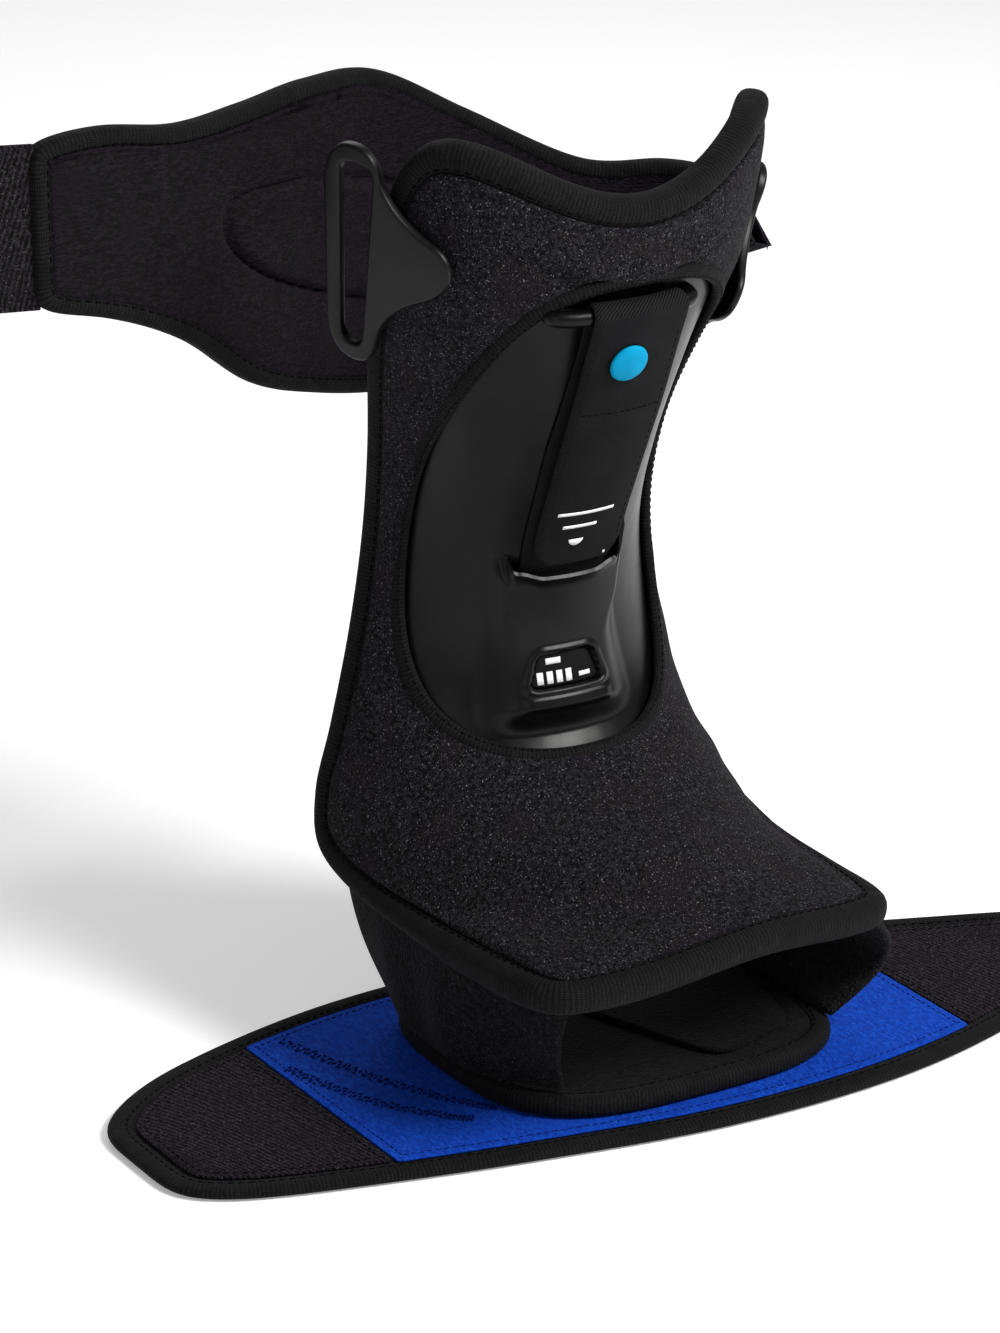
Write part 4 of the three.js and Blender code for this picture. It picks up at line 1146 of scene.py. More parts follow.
@dataclass(frozen=True)
class Liner:
    """Padded liner against the leg and instep."""

    swell: float = 1.2

    def build(self) -> None:
        """Builds the liner."""
        loop = inset(form, Form.outline(), Form.binding_width + 0.4)
        pad = Pad(form, loop, Form.steps, Form.liner_out, -Form.binding_thickness, 1.2,
                  under=self.quilt)
        pad.mesher().place("liner_pad", Finish.LINER, "liner")

    def quilt(self, q: np.ndarray) -> np.ndarray:
        """Soft swell of the side that faces the leg."""
        edge = np.minimum(smooth(0.3, 1.6, q[..., 0]), 1 - smooth(9.6, 10.9, q[..., 0]))
        return self.swell * edge * (1 - smooth(0.6, 1.0, np.abs(q[..., 1])))


@dataclass(frozen=True)
class Shell:
    """Moulded shell: plate, hooded channel with a pocket, gauge recess, ledge and upper bar."""

    raise_by: float = 5.2
    channel_half: float = 19.4
    flank: float = 5.0
    lip_row: float = 4.14
    ears: tuple[float, float] = (0.16, 0.6)
    end_row: float = 5.98
    wall: float = 1.7
    bar_row: float = 1.16
    bar_radius: float = 2.6
    bar_half: float = 22.5
    gauge_rows: tuple[float, float] = (5.03, 5.44)
    gauge_top: float = 9.0
    gauge_foot: float = 12.5
    gauge_depth: float = 2.6
    gauge_corner: float = 2.6
    gauge_row_mm: float = 29.0
    gauge_rim: float = 0.9
    gauge_thickness: float = 1.2
    lip_height: float = 0.5
    ledge: float = 0.9
    ledge_rows: tuple[float, float, float, float] = (5.5, 5.57, 5.65, 5.74)
    ledge_half: tuple[float, float] = (12, 15.5)
    marks: tuple[tuple[float, float, float, float], ...] = (
        (5.13, -6.4, -1.4, 2.2), (5.32, -9.6, -7.6, 4.4), (5.32, -6.4, -4.4, 4.4),
        (5.32, -3.2, -1.2, 4.4), (5.32, 0.0, 2.0, 4.4), (5.34, 4.6, 8.6, 1.6))

    @property
    def bar_offset(self) -> float:
        """Height of the bar's middle over the form's face."""
        return Form.shell_out + 2 * GAP + TensionStrap.thickness + self.bar_radius + 0.05

    @property
    def gauge_low(self) -> float:
        """Height of the gauge plate's under face over the form's face."""
        return Form.shell_out + self.raise_by - self.gauge_depth + GAP

    def gauge_half(self, f: np.ndarray) -> np.ndarray:
        """Half width of the gauge recess at share f down it."""
        return mix(self.gauge_top, self.gauge_foot, f)

    def flare(self, s: np.ndarray) -> np.ndarray:
        """Width of the sloping flanks at row s, which spread towards the channel's foot."""
        return self.flank + 5.5 * smooth(4.5, 5.7, s)

    def lip(self, x: np.ndarray) -> np.ndarray:
        """Row of the pocket's lip at x from its middle: lowest there, with an ear at each end."""
        wide = np.abs(x)
        ear = np.where(x < 0, *self.ears)
        ear = ear * smooth(16.2, self.channel_half + 1.6, wide)
        return self.lip_row - 0.07 * smooth(8, 16, wide) - ear

    def raised_by(self, s: np.ndarray, x: np.ndarray) -> np.ndarray:
        """Height of the hood over the plate at row s and x from its middle."""
        wide = np.abs(x)
        shoulder = mix(self.channel_half - 1.5, 13.6, smooth(4.4, 5.0, s))
        flank = 1 - smooth(shoulder, self.channel_half + self.flare(s), wide)
        fall = 1 - smooth(self.end_row - 0.34, self.end_row, s)
        a, b, c, d = self.ledge_rows
        ledge = smooth(a, b, s) * (1 - smooth(c, d, s)) * (1 - smooth(*self.ledge_half, wide))
        start = self.lip(x)
        lip = self.lip_height * bell(s - start, 0.05)
        first, last = self.gauge_rows
        f = (s - first) / (last - first)
        side = self.gauge_half(np.clip(f, 0, 1)) - wide
        ends = np.minimum(s - first, last - s) * self.gauge_row_mm
        corner = self.gauge_corner
        inside = corner - np.hypot(np.maximum(corner - side, 0), np.maximum(corner - ends, 0))
        recess = self.gauge_depth * smooth(-0.1, 0.5, inside)
        rim = self.gauge_rim * bell(inside + 1.3, 1.1)
        ear = smooth(TensionStrap.half_width - 0.4, self.channel_half + 0.4, wide)
        rise = 1 - ear * (1 - smooth(start - 0.02, start + 0.26, s))
        body = self.raise_by * flank * fall + lip * flank
        return body * rise + self.ledge * ledge - recess + rim * flank * fall

    def hood(self) -> Mesher:
        """The raised channel, open towards the strap at its upper lip."""
        down = np.concatenate([np.linspace(0, 0.4, 26), np.linspace(0.4, 0.86, 74)[1:],
                               np.linspace(0.86, 1, 30)[1:]])
        x = np.concatenate([np.linspace(-1, -0.78, 10), np.linspace(-0.78, 0.78, 76)[1:-1],
                            np.linspace(0.78, 1, 10)])
        f, x = np.meshgrid(down, x, indexing="ij")
        start = x * (self.channel_half + self.flank)
        s = mix(self.lip(start), self.end_row, f)
        x = x * (self.channel_half + self.flare(s))
        seat = Form.seat(s, x)
        outer = Form.shell_out + self.raised_by(s, x)
        inner = np.maximum(outer - self.wall, Form.shell_out - 0.8)
        front = seat.lifted(outer)
        back = seat.lifted(np.minimum(inner, outer - 0.25))
        nose = mix(front[:1], back[:1], 0.5) - unit(seat.da[:1]) * 0.7
        body = Mesher().grid(np.concatenate([back[::-1], nose, front]))
        body.grid(np.stack([front[-1], back[-1]]))
        for k in (0, -1):
            body.grid(np.stack([front[:, k], back[:, k]]))
            body.cap(np.stack([front[0, k], nose[0, k], back[0, k]]))
        return body

    def bar(self) -> Mesher:
        """Round bar over the channel, with both feet on the plate."""
        b, o = self.bar_half, self.bar_offset
        low = Form.shell_out - 1.2
        path = Sections((
            (-b - 1.7, low), (-b - 1.5, o - 2.6), (-b + 1, o - 0.1), (-b / 2, o), (0, o), (b / 2, o),
            (b - 1, o - 0.1), (b + 1.5, o - 2.6), (b + 1.7, low),
        )).curve(60)
        line = Form.seat(self.bar_row, path[:, 0]).lifted(path[:, 1])
        up = -unit(Form.seat(self.bar_row, np.zeros(1)).da)
        side = unit(np.cross(unit(np.gradient(line, axis=0)), up))
        turn = np.linspace(0, 2 * math.pi, 24, endpoint=False)[None, :, None]
        spoke = side[:, None] * np.cos(turn) + up[:, None] * np.sin(turn)
        return Mesher().tube(line[:, None] + self.bar_radius * spoke)

    def gauge_plate(self) -> Mesher:
        """Plate at the bottom of the gauge recess."""
        first, last = self.gauge_rows
        steps = (20, 14)
        q = round_square(square_loop(*steps), 8)
        f = (q[:, 1] + 1) / 2
        x = q[:, 0] * (self.gauge_half(f) - GAP - 0.1)
        loop = Form.on_channel(mix(first + 0.015, last - 0.015, f), x)[::-1]
        high = self.gauge_low + self.gauge_thickness
        return Pad(form, np.roll(loop, 1, 0), steps, high, self.gauge_low, 0.3).mesher()

    def build(self) -> None:
        """Builds the shell in four closed parts, and the gauge with its plain marks."""
        loop = inset(form, Form.outline(), Form.binding_width + 1.6)
        low = Form.shell_out - Form.shell_thickness
        plate = Pad(form, loop, Form.steps, Form.shell_out, low, 0.8)
        plate.mesher().place("shell_body", Finish.SHELL, "shell", sharp=50)
        self.hood().place("shell_hood", Finish.SHELL, sharp=50)
        self.bar().place("shell_bar", Finish.SHELL, sharp=50)
        self.gauge_plate().place("gauge_plate_face", Finish.GAUGE, "gauge_plate", sharp=40)
        body = Mesher()
        for mark in self.marks:
            print_mark(body, *mark, lambda row: self.gauge_low + self.gauge_thickness)
        body.place("gauge_marks", Finish.INK)


def print_mark(body: Mesher, row: float, x0: float, x1: float, tall: float,
               height: Callable[[np.ndarray], np.ndarray | float], round_foot: bool = False) -> None:
    """Adds one flat printed mark.

    Args:
        body: The mesh that it joins.
        row: Row of the form at its middle.
        x0: Its left edge from the middle of the channel, in millimetres.
        x1: Its right edge.
        tall: Its height.
        height: Height of the printed face over the form at a row.
        round_foot: Whether it is half an ellipse, round at its foot.
    """
    f = np.linspace(-1, 1, 13)
    reach = np.sqrt(np.maximum(1 - f**2, 0.02)) if round_foot else np.ones(13)
    s = row + np.outer([-1, 1], tall / 2 * reach) / Form.row_mm
    if round_foot:
        s[0] = row
    x = np.broadcast_to(mix(x0, x1, (f + 1) / 2), s.shape)
    over, under = (Form.seat(s, x).lifted(height(s) + depth) for depth in (0.09, -0.15))
    body.grid(np.stack([over[0], over[1], under[1], under[0]]), close_rows=True)
    for k in (0, -1):
        body.cap(np.stack([over[0, k], over[1, k], under[1, k], under[0, k]]))


@dataclass(frozen=True)
class TensionStrap:
    """Webbing from the pocket up, round the bar and down to its free end, with its button."""

    thickness = 1.3
    half_width = 17.5
    shell: Shell
    gathered: float = 5.2
    peek: float = -2.4
    free: tuple[tuple[float, float, float], ...] = (
        (1.5, 0.80, 1), (2.1, 0.62, 1), (2.7, 0.44, 1), (3.3, 0.28, 1), (3.72, 0.21, 1),
        (3.88, 0.19, 0.93), (4.0, 0.18, 0.72))
    button_row: float = 1.6
    button_radius: float = 6.2
    button_thickness: float = 1.8
    seam_row: float = 2.18
    sewn_rows: tuple[float, float] = (1.35, 3.8)
    sewn_half: float = 15.9
    marks: tuple[tuple[float, float, float, float, bool], ...] = (
        (3.39, -8.2, 10.6, 1.1, False), (3.55, -5.6, 5.6, 1.1, False),
        (3.71, -2.6, 2.2, 4.6, True), (3.957, 11.2, 12.0, 0.9, False))

    def path(self) -> np.ndarray:
        """Rows, heights and both edges along the strap, drawn in from the left on the bar."""
        shell = self.shell
        inner = Form.shell_out + GAP + self.thickness / 2
        turn = shell.bar_radius + GAP + self.thickness / 2 + 0.05
        step = Form.on_channel(np.array([shell.bar_row, shell.bar_row + 0.01]), 3.5)
        per_mm = 0.01 / np.linalg.norm(np.diff(form(step[:, 0], step[:, 1]), axis=0))
        h, left = self.half_width, self.half_width - self.gathered
        path = [(s, inner, self.peek - left, h) for s in (4.4, 3.9, 3.3, 2.7)]
        path += [(2.1, inner, self.peek / 2 - left, h), (1.5, inner, -left, h)]
        for k in range(7):
            angle = -math.pi / 2 + math.pi * k / 6
            path.append((shell.bar_row - math.cos(angle) * turn * per_mm,
                         shell.bar_offset + math.sin(angle) * turn, -left, h))
        low, high = inner + self.thickness + GAP, shell.bar_offset + turn
        middle, half = (h - left) / 2, (h + left) / 2
        path += [(s, mix(low, high, f), middle - half * width, middle + half * width)
                 for s, f, width in self.free]
        return Sections(tuple(path)).curve(240)

    def build(self) -> None:
        """Builds the strap with its stitches, marks and button."""
        path = self.path()
        x = np.linspace(0, 1, 15)
        rows = Form.seat(path[:, :1], mix(path[:, 2:3], path[:, 3:4], x[None]))
        middle = rows.lifted(path[:, 1:2])
        run = unit(np.gradient(middle, axis=0))
        side = unit(np.gradient(middle, axis=1))
        half = self.thickness / 2
        normal = unit(np.cross(run, side)) * half
        right = middle[:, -1] + side[:, -1] * half * 0.8
        left = middle[:, 0] - side[:, 0] * half * 0.8
        rings = [middle + normal, right[:, None], (middle - normal)[:, ::-1], left[:, None]]
        piece = Mesher().tube(np.concatenate(rings, 1)).place(
            "tension_strap_web", Finish.WEBBING, "tension_strap", sharp=60)
        leg = path[np.argmax(path[:, 1]):]

        def face(s: np.ndarray) -> np.ndarray:
            return np.interp(s, leg[:, 0], leg[:, 1]) + half

        first, last = self.gathered - self.sewn_half, self.sewn_half
        row = np.full(30, self.seam_row)
        seam = Form.seat(row, np.linspace(first + 0.4, last - 0.4, 30)).lifted(face(row) + 0.12)
        down = np.linspace(*self.sewn_rows, 60)
        lines = [Row(Form.seat(down, edge).lifted(face(down) + 0.05)) for edge in (first, last)]
        sewn = [Sewing("strap_cross_stitches", Stitch.WEB_ACROSS).sew([Row(seam)]),
                Sewing("strap_edge_stitches", Stitch.WEB_ALONG).sew(lines)]
        body = Mesher()
        for *mark, round_foot in self.marks:
            print_mark(body, *mark, face, round_foot)
        sewn.append(body.place("strap_marks", Finish.INK))
        self.button(leg)

    def button(self, leg: np.ndarray) -> None:
        """Builds the round button on the strap.

        Args:
            leg: Rows and heights of the strap's free leg.
        """
        r, h = self.button_radius, self.button_thickness
        dome = [(r * f, z) for f, z in ((0, 0), (0.9, 0), (0.97, 0.15), (1, 0.5), (0.985, 0.85),
                                        (0.94, 1.15), (0.86, 1.3))]
        dome += [(r * f, h - (h - 1.36) * (f / 0.8) ** 2) for f in np.linspace(0.8, 0, 12)]
        seat = Form.seat(self.button_row, np.zeros(1))
        normal = unit(seat.normal + 0.055 * unit(seat.da))[0]
        height = np.interp(self.button_row, leg[:, 0], leg[:, 1]) + self.thickness / 2 + GAP
        place = seat.place[0] + seat.normal[0] * height
        ax = unit(np.cross(normal, seat.da[0]))
        ay = np.cross(normal, ax)
        turn = np.linspace(0, 2 * math.pi, 64, endpoint=False)
        round_to = np.cos(turn)[:, None] * ax + np.sin(turn)[:, None] * ay
        rings = np.array([place + normal * z + round_to * max(d, 1e-4) for d, z in dome])
        Mesher().grid(rings, close_cols=True).place(
            "strap_button_dome", Finish.BUTTON, "strap_button", sharp=60)


# Loops and the calf wing


def bend(start: Sequence[float], control: Sequence[float], end: Sequence[float],
         steps: int = 10) -> np.ndarray:
    """Points along a quadratic curve, without its end."""
    f = np.linspace(0, 1, steps, endpoint=False)[:, None]
    a, b, c = (np.array(p, float) for p in (start, control, end))
    return (1 - f) ** 2 * a + 2 * f * (1 - f) * b + f**2 * c


@dataclass(frozen=True)
class Loop:
    """A strap loop: frame with a slot, and a tab that narrows to a round tip."""

    name: str
    node: str
    side: int
    drop: float
    across: float
    back: float
    lift: float
    height: float = 71.0
    width: float = 25.0
    thickness: float = 3.4
    bar: float = 5.4
    tab: float = 21.0
    row: float = 0.94
    rise: float = 2.0
    bevel: float = 1.05
    thinned: float = 0.9

    def axes(self) -> tuple[np.ndarray, np.ndarray, np.ndarray, np.ndarray]:
        """Place of the loop, and its directions back, up and out."""
        step = form(np.array([1.16, 1.17]), np.zeros(2))
        per_mm = 0.01 / np.linalg.norm(step[0] - step[1])
        seat = Seat.on(form, np.array([self.row + self.drop * per_mm, self.side * self.across]))
        up, out = -unit(seat.da), seat.normal
        back = unit(np.cross(out, up))
        back = -back if back[1] < 0 else back
        return seat.place + out * self.lift + back * self.back, back, up, out

    def outlines(self) -> tuple[np.ndarray, np.ndarray]:
        """Outer outline and slot, drawn flat: x outward, y up."""
        h, w, r, t = self.height / 2, self.width, self.width * 0.42, self.tab
        corners = [(w - r, h), (w, h), (w, h - 1.5 * r), None, (w - 0.16 * w, -h + 1.3 * r),
                   (w - 0.2 * w, -h), (w * 0.42, -h), (w * 0.12, -h), (w * 0.1, -h + 0.9 * r),
                   (w * 0.02, -h * 0.42), (-t * 0.5, -h * 0.2), (-t, -h * 0.02), (-t, h * 0.16),
                   (-t, h * 0.36), (-t * 0.62, h * 0.4), (0, h * 0.5), (w * 0.22, h - 0.8 * r),
                   (w * 0.3, h), (w - r, h)]
        x0, x1, y1 = self.bar * 0.95 + w * 0.1, w - self.bar, h - self.bar
        slot = [(x0 + 3, y1), (x1, y1 + 0.6), (x1, y1 - 5), None, (x1 - 0.16 * w, -y1 + 4),
                (x1 - 0.18 * w, -y1), ((x0 + x1) / 2 - 0.1 * w, -y1), (x0 - 0.5, -y1),
                (x0 - 0.4, -y1 + 5), None, (x0, y1 - 4), (x0, y1), (x0 + 3, y1)]
        return self.traced(corners), self.traced(slot)

    @staticmethod
    def traced(corners: list) -> np.ndarray:
        """Points along curves through start, control and end; None starts a straight run."""
        parts, k, here = [], 1, corners[0]
        while k < len(corners):
            if corners[k] is None:
                parts.append(np.linspace(here, corners[k + 1], 6, endpoint=False))
            else:
                parts.append(bend(here, corners[k], corners[k + 1]))
            here, k = corners[k + 1], k + 2
        return np.concatenate(parts)

    def build(self) -> None:
        """Builds the loop from a filled curve with a rounded edge."""
        curve = bpy.data.curves.new(self.name, "CURVE")
        curve.dimensions = "2D"
        curve.fill_mode = "BOTH"
        curve.extrude = self.thickness / 2 - self.bevel
        curve.bevel_depth = self.bevel
        curve.bevel_resolution = 4
        curve.offset = -self.bevel
        for outline in self.outlines():
            spline = curve.splines.new("POLY")
            spline.points.add(len(outline) - 1)
            spline.points.foreach_set("co", np.insert(outline, [2, 2], [0.0, 1.0], 1).ravel())
            spline.use_cyclic_u = True
        mesh = worked_out(add_object(self.name + "_work", curve))
        place, back, up, out = self.axes()
        points = np.empty(3 * len(mesh.vertices))
        mesh.vertices.foreach_get("co", points)
        x, y, z = points.reshape(-1, 3).T
        tip = smooth(0, -self.tab, x) * self.thinned
        z = (z + self.thickness / 2) - tip * (z > 0)
        moved = place + x[:, None] * back + (y[:, None] + self.rise) * up + z[:, None] * out
        mesh.vertices.foreach_set("co", (moved * MM).ravel())
        mesh.update()
        mesh.name = self.name
        place_piece(self.name, tidy(mesh, 45), Finish.LOOP, self.node)


LEFT_LOOP = Loop("left_loop_frame", "left_loop", -1, 0, 0.9, -2.5, 0.3)
RIGHT_LOOP = Loop("right_loop_frame", "right_loop", 1, 29, 0.81, 4.5, 1.6)


@dataclass(frozen=True)
class CalfWing:
    """Padded wing round the calf, with its binding and the hook strap at its free end."""

    thickness: float = 7.0
    binding_width: float = 6.4
    binding_thickness: float = 7.6
    steps: tuple[int, int] = (240, 84)
    strap_thickness: float = 2.4
    strap_length: float = 33.0
    tuck: float = 2.5
    oval_at: tuple[float, float] = (3.6, 0.507)
    oval_half: tuple[float, float] = (2.79, 0.187)
    oval_mm: tuple[float, float] = (25.5, 95.0)
    oval_lean: tuple[float, float] = (0.041, 4.8)
    swell: float = 1.9
    groove: float = 2.4

    def outline(self) -> np.ndarray:
        """Outline of the whole wing."""
        q = (1 + round_square(square_loop(*self.steps), 12)) / 2
        return q * np.array([len(WING.rows) - 1, 1])

    def oval(self, q: np.ndarray) -> np.ndarray:
        """Moulded oval outline on the inner face, and the swell inside it."""
        lean, level = self.oval_lean
        rise = lean * (q[..., 0] - level)
        from_middle = np.stack([q[..., 0], q[..., 1] - rise], -1) - self.oval_at
        reach = (np.abs(from_middle / self.oval_half) ** 3).sum(-1) ** (1 / 3)
        away = np.hypot(*np.moveaxis(from_middle * self.oval_mm, -1, 0))
        away = away * (1 - 1 / np.maximum(reach, 0.05))
        return self.swell * (1 - smooth(-7, 0, away)) - self.groove * bell(away, 1.5)

    def build(self) -> None:
        """Builds the wing, its binding and its end strap."""
        outline = self.outline()
        tube = Tube(wing, outline, self.binding_width, self.binding_thickness, 0.0)
        bind(tube, "wing_binding")
        loop = inset(wing, outline, self.binding_width - 2.0)
        half = self.thickness / 2
        pad = Pad(wing, loop, self.steps, half, -half, 2.2, under=self.oval)
        pad.mesher().place("calf_wing_pad", Finish.WING, "calf_wing")
        self.end_strap()

    def end_strap(self) -> None:
        """Builds the hook strap that carries on from the wing's free end."""
        last = float(len(WING.rows) - 1)
        along = unit(Seat.on(wing, np.array([last, 0.5])).da)
        start, top = (wing(np.array(last), np.array(b)) + along * -self.tuck for b in (0.0, 1.0))
        height = float(np.linalg.norm(top - start))
        plane = Plane(start, along, unit(top - start))
        steps = (30, 40)
        q = square_loop(*steps)
        q = np.where(q[:, :1] > 0, round_square(q, 5), q)
        loop = np.stack([(1 + q[:, 0]) / 2 * self.strap_length,
                         height * (0.5 + 0.465 * q[:, 1])], -1)
        half = self.strap_thickness / 2
        piece = Pad(plane, loop, steps, half, -half, 0.9).mesher().place(
            "wing_end_hook", Finish.HOOK, "wing_end_strap")
        line = plane(*inset(plane, loop, SEW_IN).T) + np.cross(along, plane.up) * (half + 0.08)
        sewn = Sewing("wing_end_stitches", Stitch.HOOK).sew([Row(line, True)])


@dataclass(frozen=True)
class FoldStrap:
    """Strap folded through the right loop and fastened on the wing."""

    thickness: float = 1.8
    height: float = 46.0
    wing_thickness: float = 8.0
    slack: float = 2.2
    bar_lean: float = 0.078

    def build(self) -> None:
        """Builds the strap along its own path."""
        place, back, up, out = RIGHT_LOOP.axes()
        bar = RIGHT_LOOP.width - RIGHT_LOOP.bar / 2 - 1.9
        radius = RIGHT_LOOP.bar / 2 + self.thickness / 2 + 0.6

        def on_bar(degrees: float, further: float = 0.0) -> np.ndarray:
            angle = math.radians(degrees)
            return (place + back * (bar + further + radius * math.cos(angle))
                    + out * (RIGHT_LOOP.thickness / 2 + radius * math.sin(angle)))

        lift = self.wing_thickness / 2 + GAP + self.thickness / 2
        on_wing = np.array([[u, 0.5] for u in (0.9, 0.5, 0.15, -0.1)])
        start = Seat.on(wing, on_wing).lifted(np.full(4, lift))
        path = [*start, mix(start[-1], on_bar(90), 0.45) + out * self.slack]
        path += [on_bar(a) for a in (90, 125, 160, 200, 235, 270)] + [on_bar(268, 4)]
        bar_up = unit(up + back * self.bar_lean)
        lean = smooth(1, 6, np.arange(len(path), dtype=float))[:, None]
        ups = unit(mix(np.array([0.0, 0.0, 1.0]), bar_up, lean))
        rows = Sections(tuple(tuple(r) for r in np.hstack([np.array(path), ups]))).curve(110)
        run = unit(np.gradient(rows[:, :3], axis=0))
        across = unit(rows[:, 3:] - run * np.sum(run * rows[:, 3:], -1, keepdims=True))
        strip = Strip(rows[:, :3], across, np.full(110, self.height), self.thickness)
        piece = strip.mesher().place("fold_strap_cloth", Finish.HOOK, "fold_strap", sharp=60)
        out_to, over = self.height / 2 - SEW_IN, self.thickness / 2 + 0.05
        lines = [Row(rows[:, :3] + across * side * out_to + strip.normals() * face * over)
                 for side in (-1, 1) for face in (-1, 1)]
        sewn = Sewing("fold_strap_stitches", Stitch.FOLD).sew(lines)


# The foot strap and the foot loop


@dataclass(frozen=True)
class FootStrap:
    """Wide fastening strap on the floor: base cloth, binding, blue lining and hook panels."""

    half: float = 174.0
    shift: float = 11.0
    half_y: float = 67.0
    thickness: float = 2.4
    binding_width: float = 7.6
    binding_thickness: float = 3.6
    lining_half: float = 99.0
    lining_thickness: float = 1.0
    hook_thickness: float = 0.9
    steps: tuple[int, int] = (110, 40)
    margin: float = 0.9
    arc_swing: float = 1.6
    arcs: tuple[tuple[tuple[float, float], ...], ...] = (
        ((-88, 48), (-81, 23), (-73, 1), (-63, -18), (-56, -28)),
        ((-96, 30), (-91, 12), (-83, -8), (-73, -22), (-66, -30)))

    def place(self, q: np.ndarray, margin: float = 0.0) -> np.ndarray:
        """Floor places from shares along the strap and across it."""
        r = STRAP.at((q[..., 0] + 1) / 2 * (len(STRAP.rows) - 1))
        low, high = self.half_y * r[..., 1] + margin, self.half_y * r[..., 2] - margin
        return np.stack([self.shift + self.half * r[..., 0],
                         mix(low, high, (1 + q[..., 1]) / 2)], -1)

    def share_of(self, x: np.ndarray) -> np.ndarray:
        """Share along the strap at a place x."""
        shares = np.linspace(-1, 1, 801)
        xs = self.place(np.stack([shares, shares * 0], -1))[:, 0]
        return np.interp(x, xs, shares)

    def panel(self, x0: float, x1: float, steps: tuple[int, int]) -> np.ndarray:
        """Loop of places round the part of the strap between two places along it."""
        q = square_loop(*steps)
        share = self.share_of(mix(x0, x1, (1 + q[:, 0]) / 2))
        return self.place(np.stack([share, q[:, 1]], -1), self.binding_width + self.margin)

    def tip(self, side: int, steps: tuple[int, int]) -> np.ndarray:
        """Loop of places round a hook panel, out to the strap's rounded end."""
        inner = inset(flat, self.outline(), self.binding_width + self.margin)
        edge = side * (self.lining_half + 0.6)
        end = side * ((side * inner[:, 0]).max() - 0.05)
        q = square_loop(*steps)
        x = mix(edge, end, np.sin(math.pi / 2 * (1 + side * q[:, 0]) / 2))
        split = len(inner)
        nx, ny = self.steps
        lower = inner[np.arange(-ny // 2, nx + ny // 2) % split]
        upper = inner[np.arange(nx + ny // 2, 2 * nx + ny + ny // 2) % split][::-1]
        lower, upper = lower[np.argsort(lower[:, 0])], upper[np.argsort(upper[:, 0])]
        low, high = (np.interp(x, line[:, 0], line[:, 1]) for line in (lower, upper))
        return np.stack([x, mix(low, high, (1 + q[:, 1]) / 2)], -1)

    def outline(self) -> np.ndarray:
        """Outline of the whole strap."""
        return self.place(round_square(square_loop(*self.steps), 5))

    def zigzag(self) -> list[Row]:
        """Two stitched arcs on the lining, where a loop was sewn underneath."""
        top = self.thickness + GAP + self.lining_thickness + 0.12
        swing = self.arc_swing * np.sign(np.sin(np.arange(120) * math.pi / 2 + 0.5))[:, None]
        rows = []
        for table in self.arcs:
            arc = Sections(table).curve(120)
            run = unit(np.gradient(arc, axis=0))
            line = arc + np.stack([-run[:, 1], run[:, 0]], -1) * swing
            rows.append(Row(np.insert(line, 2, top, 1)))
        return rows

    def build(self) -> None:
        """Builds the strap's pieces and their stitches."""
        outline = self.outline()
        half = self.binding_thickness / 2
        tube = Tube(flat, outline, self.binding_width, self.binding_thickness, half)
        bind(tube, "strap_binding", Stitch.FLOOR_EDGE, 1)
        loop = inset(flat, outline, self.binding_width - 1)
        base = Pad(flat, loop, self.steps, self.thickness, 0, 0.8)
        cloth = base.mesher().place("foot_strap_cloth", Finish.STRAP, "foot_strap")
        steps = (90, 50)
        loop = self.panel(-self.lining_half, self.lining_half, steps)
        lining, border = self.layer("blue_lining_cloth", "strap_lining", Finish.LINING, loop, steps,
                                    self.lining_thickness, 0.5, 2.8)
        sewn = [Sewing("lining_stitches", Stitch.LINING, Finish.BLUE_THREAD).sew([border]),
                Sewing("lining_arcs", Stitch.ARC, Finish.BLUE_THREAD).sew(self.zigzag())]
        steps = (40, 36)
        for name, side in (("left_hook", -1), ("right_hook", 1)):
            loop = self.tip(side, steps)
            hook, border = self.layer(name + "_panel", name, Finish.HOOK, loop, steps,
                                      self.hook_thickness, 0.4, SEW_IN)
            ahead = np.roll(loop, -1, 0)
            area = abs(np.sum(loop[:, 0] * ahead[:, 1] - loop[:, 1] * ahead[:, 0])) / 2
            sewn = Sewing(name + "_panel_stitches", Stitch.HOOK).sew([border])

    def layer(self, name: str, node: str, finish: Finish, loop: np.ndarray, steps: tuple[int, int],
              thickness: float, roll: float, sewn_in: float) -> tuple[bpy.types.Object, Row]:
        """Places a layer of cloth on the base cloth.

        Args:
            name: The piece's name.
            node: The node that it stands in for.
            finish: Its finish.
            loop: Its outline on the floor.
            steps: Steps along and across it.
            thickness: Its thickness.
            roll: Roundness of its edge.
            sewn_in: Distance of its sewn line from its edge.

        Returns:
            The piece and its sewn line.
        """
        low = self.thickness + GAP
        pad = Pad(flat, loop, steps, low + thickness, low, roll)
        piece = pad.mesher().place(name, finish, node)
        line = np.insert(inset(flat, loop, sewn_in), 2, low + thickness + 0.1, 1)
        return piece, Row(line, True)


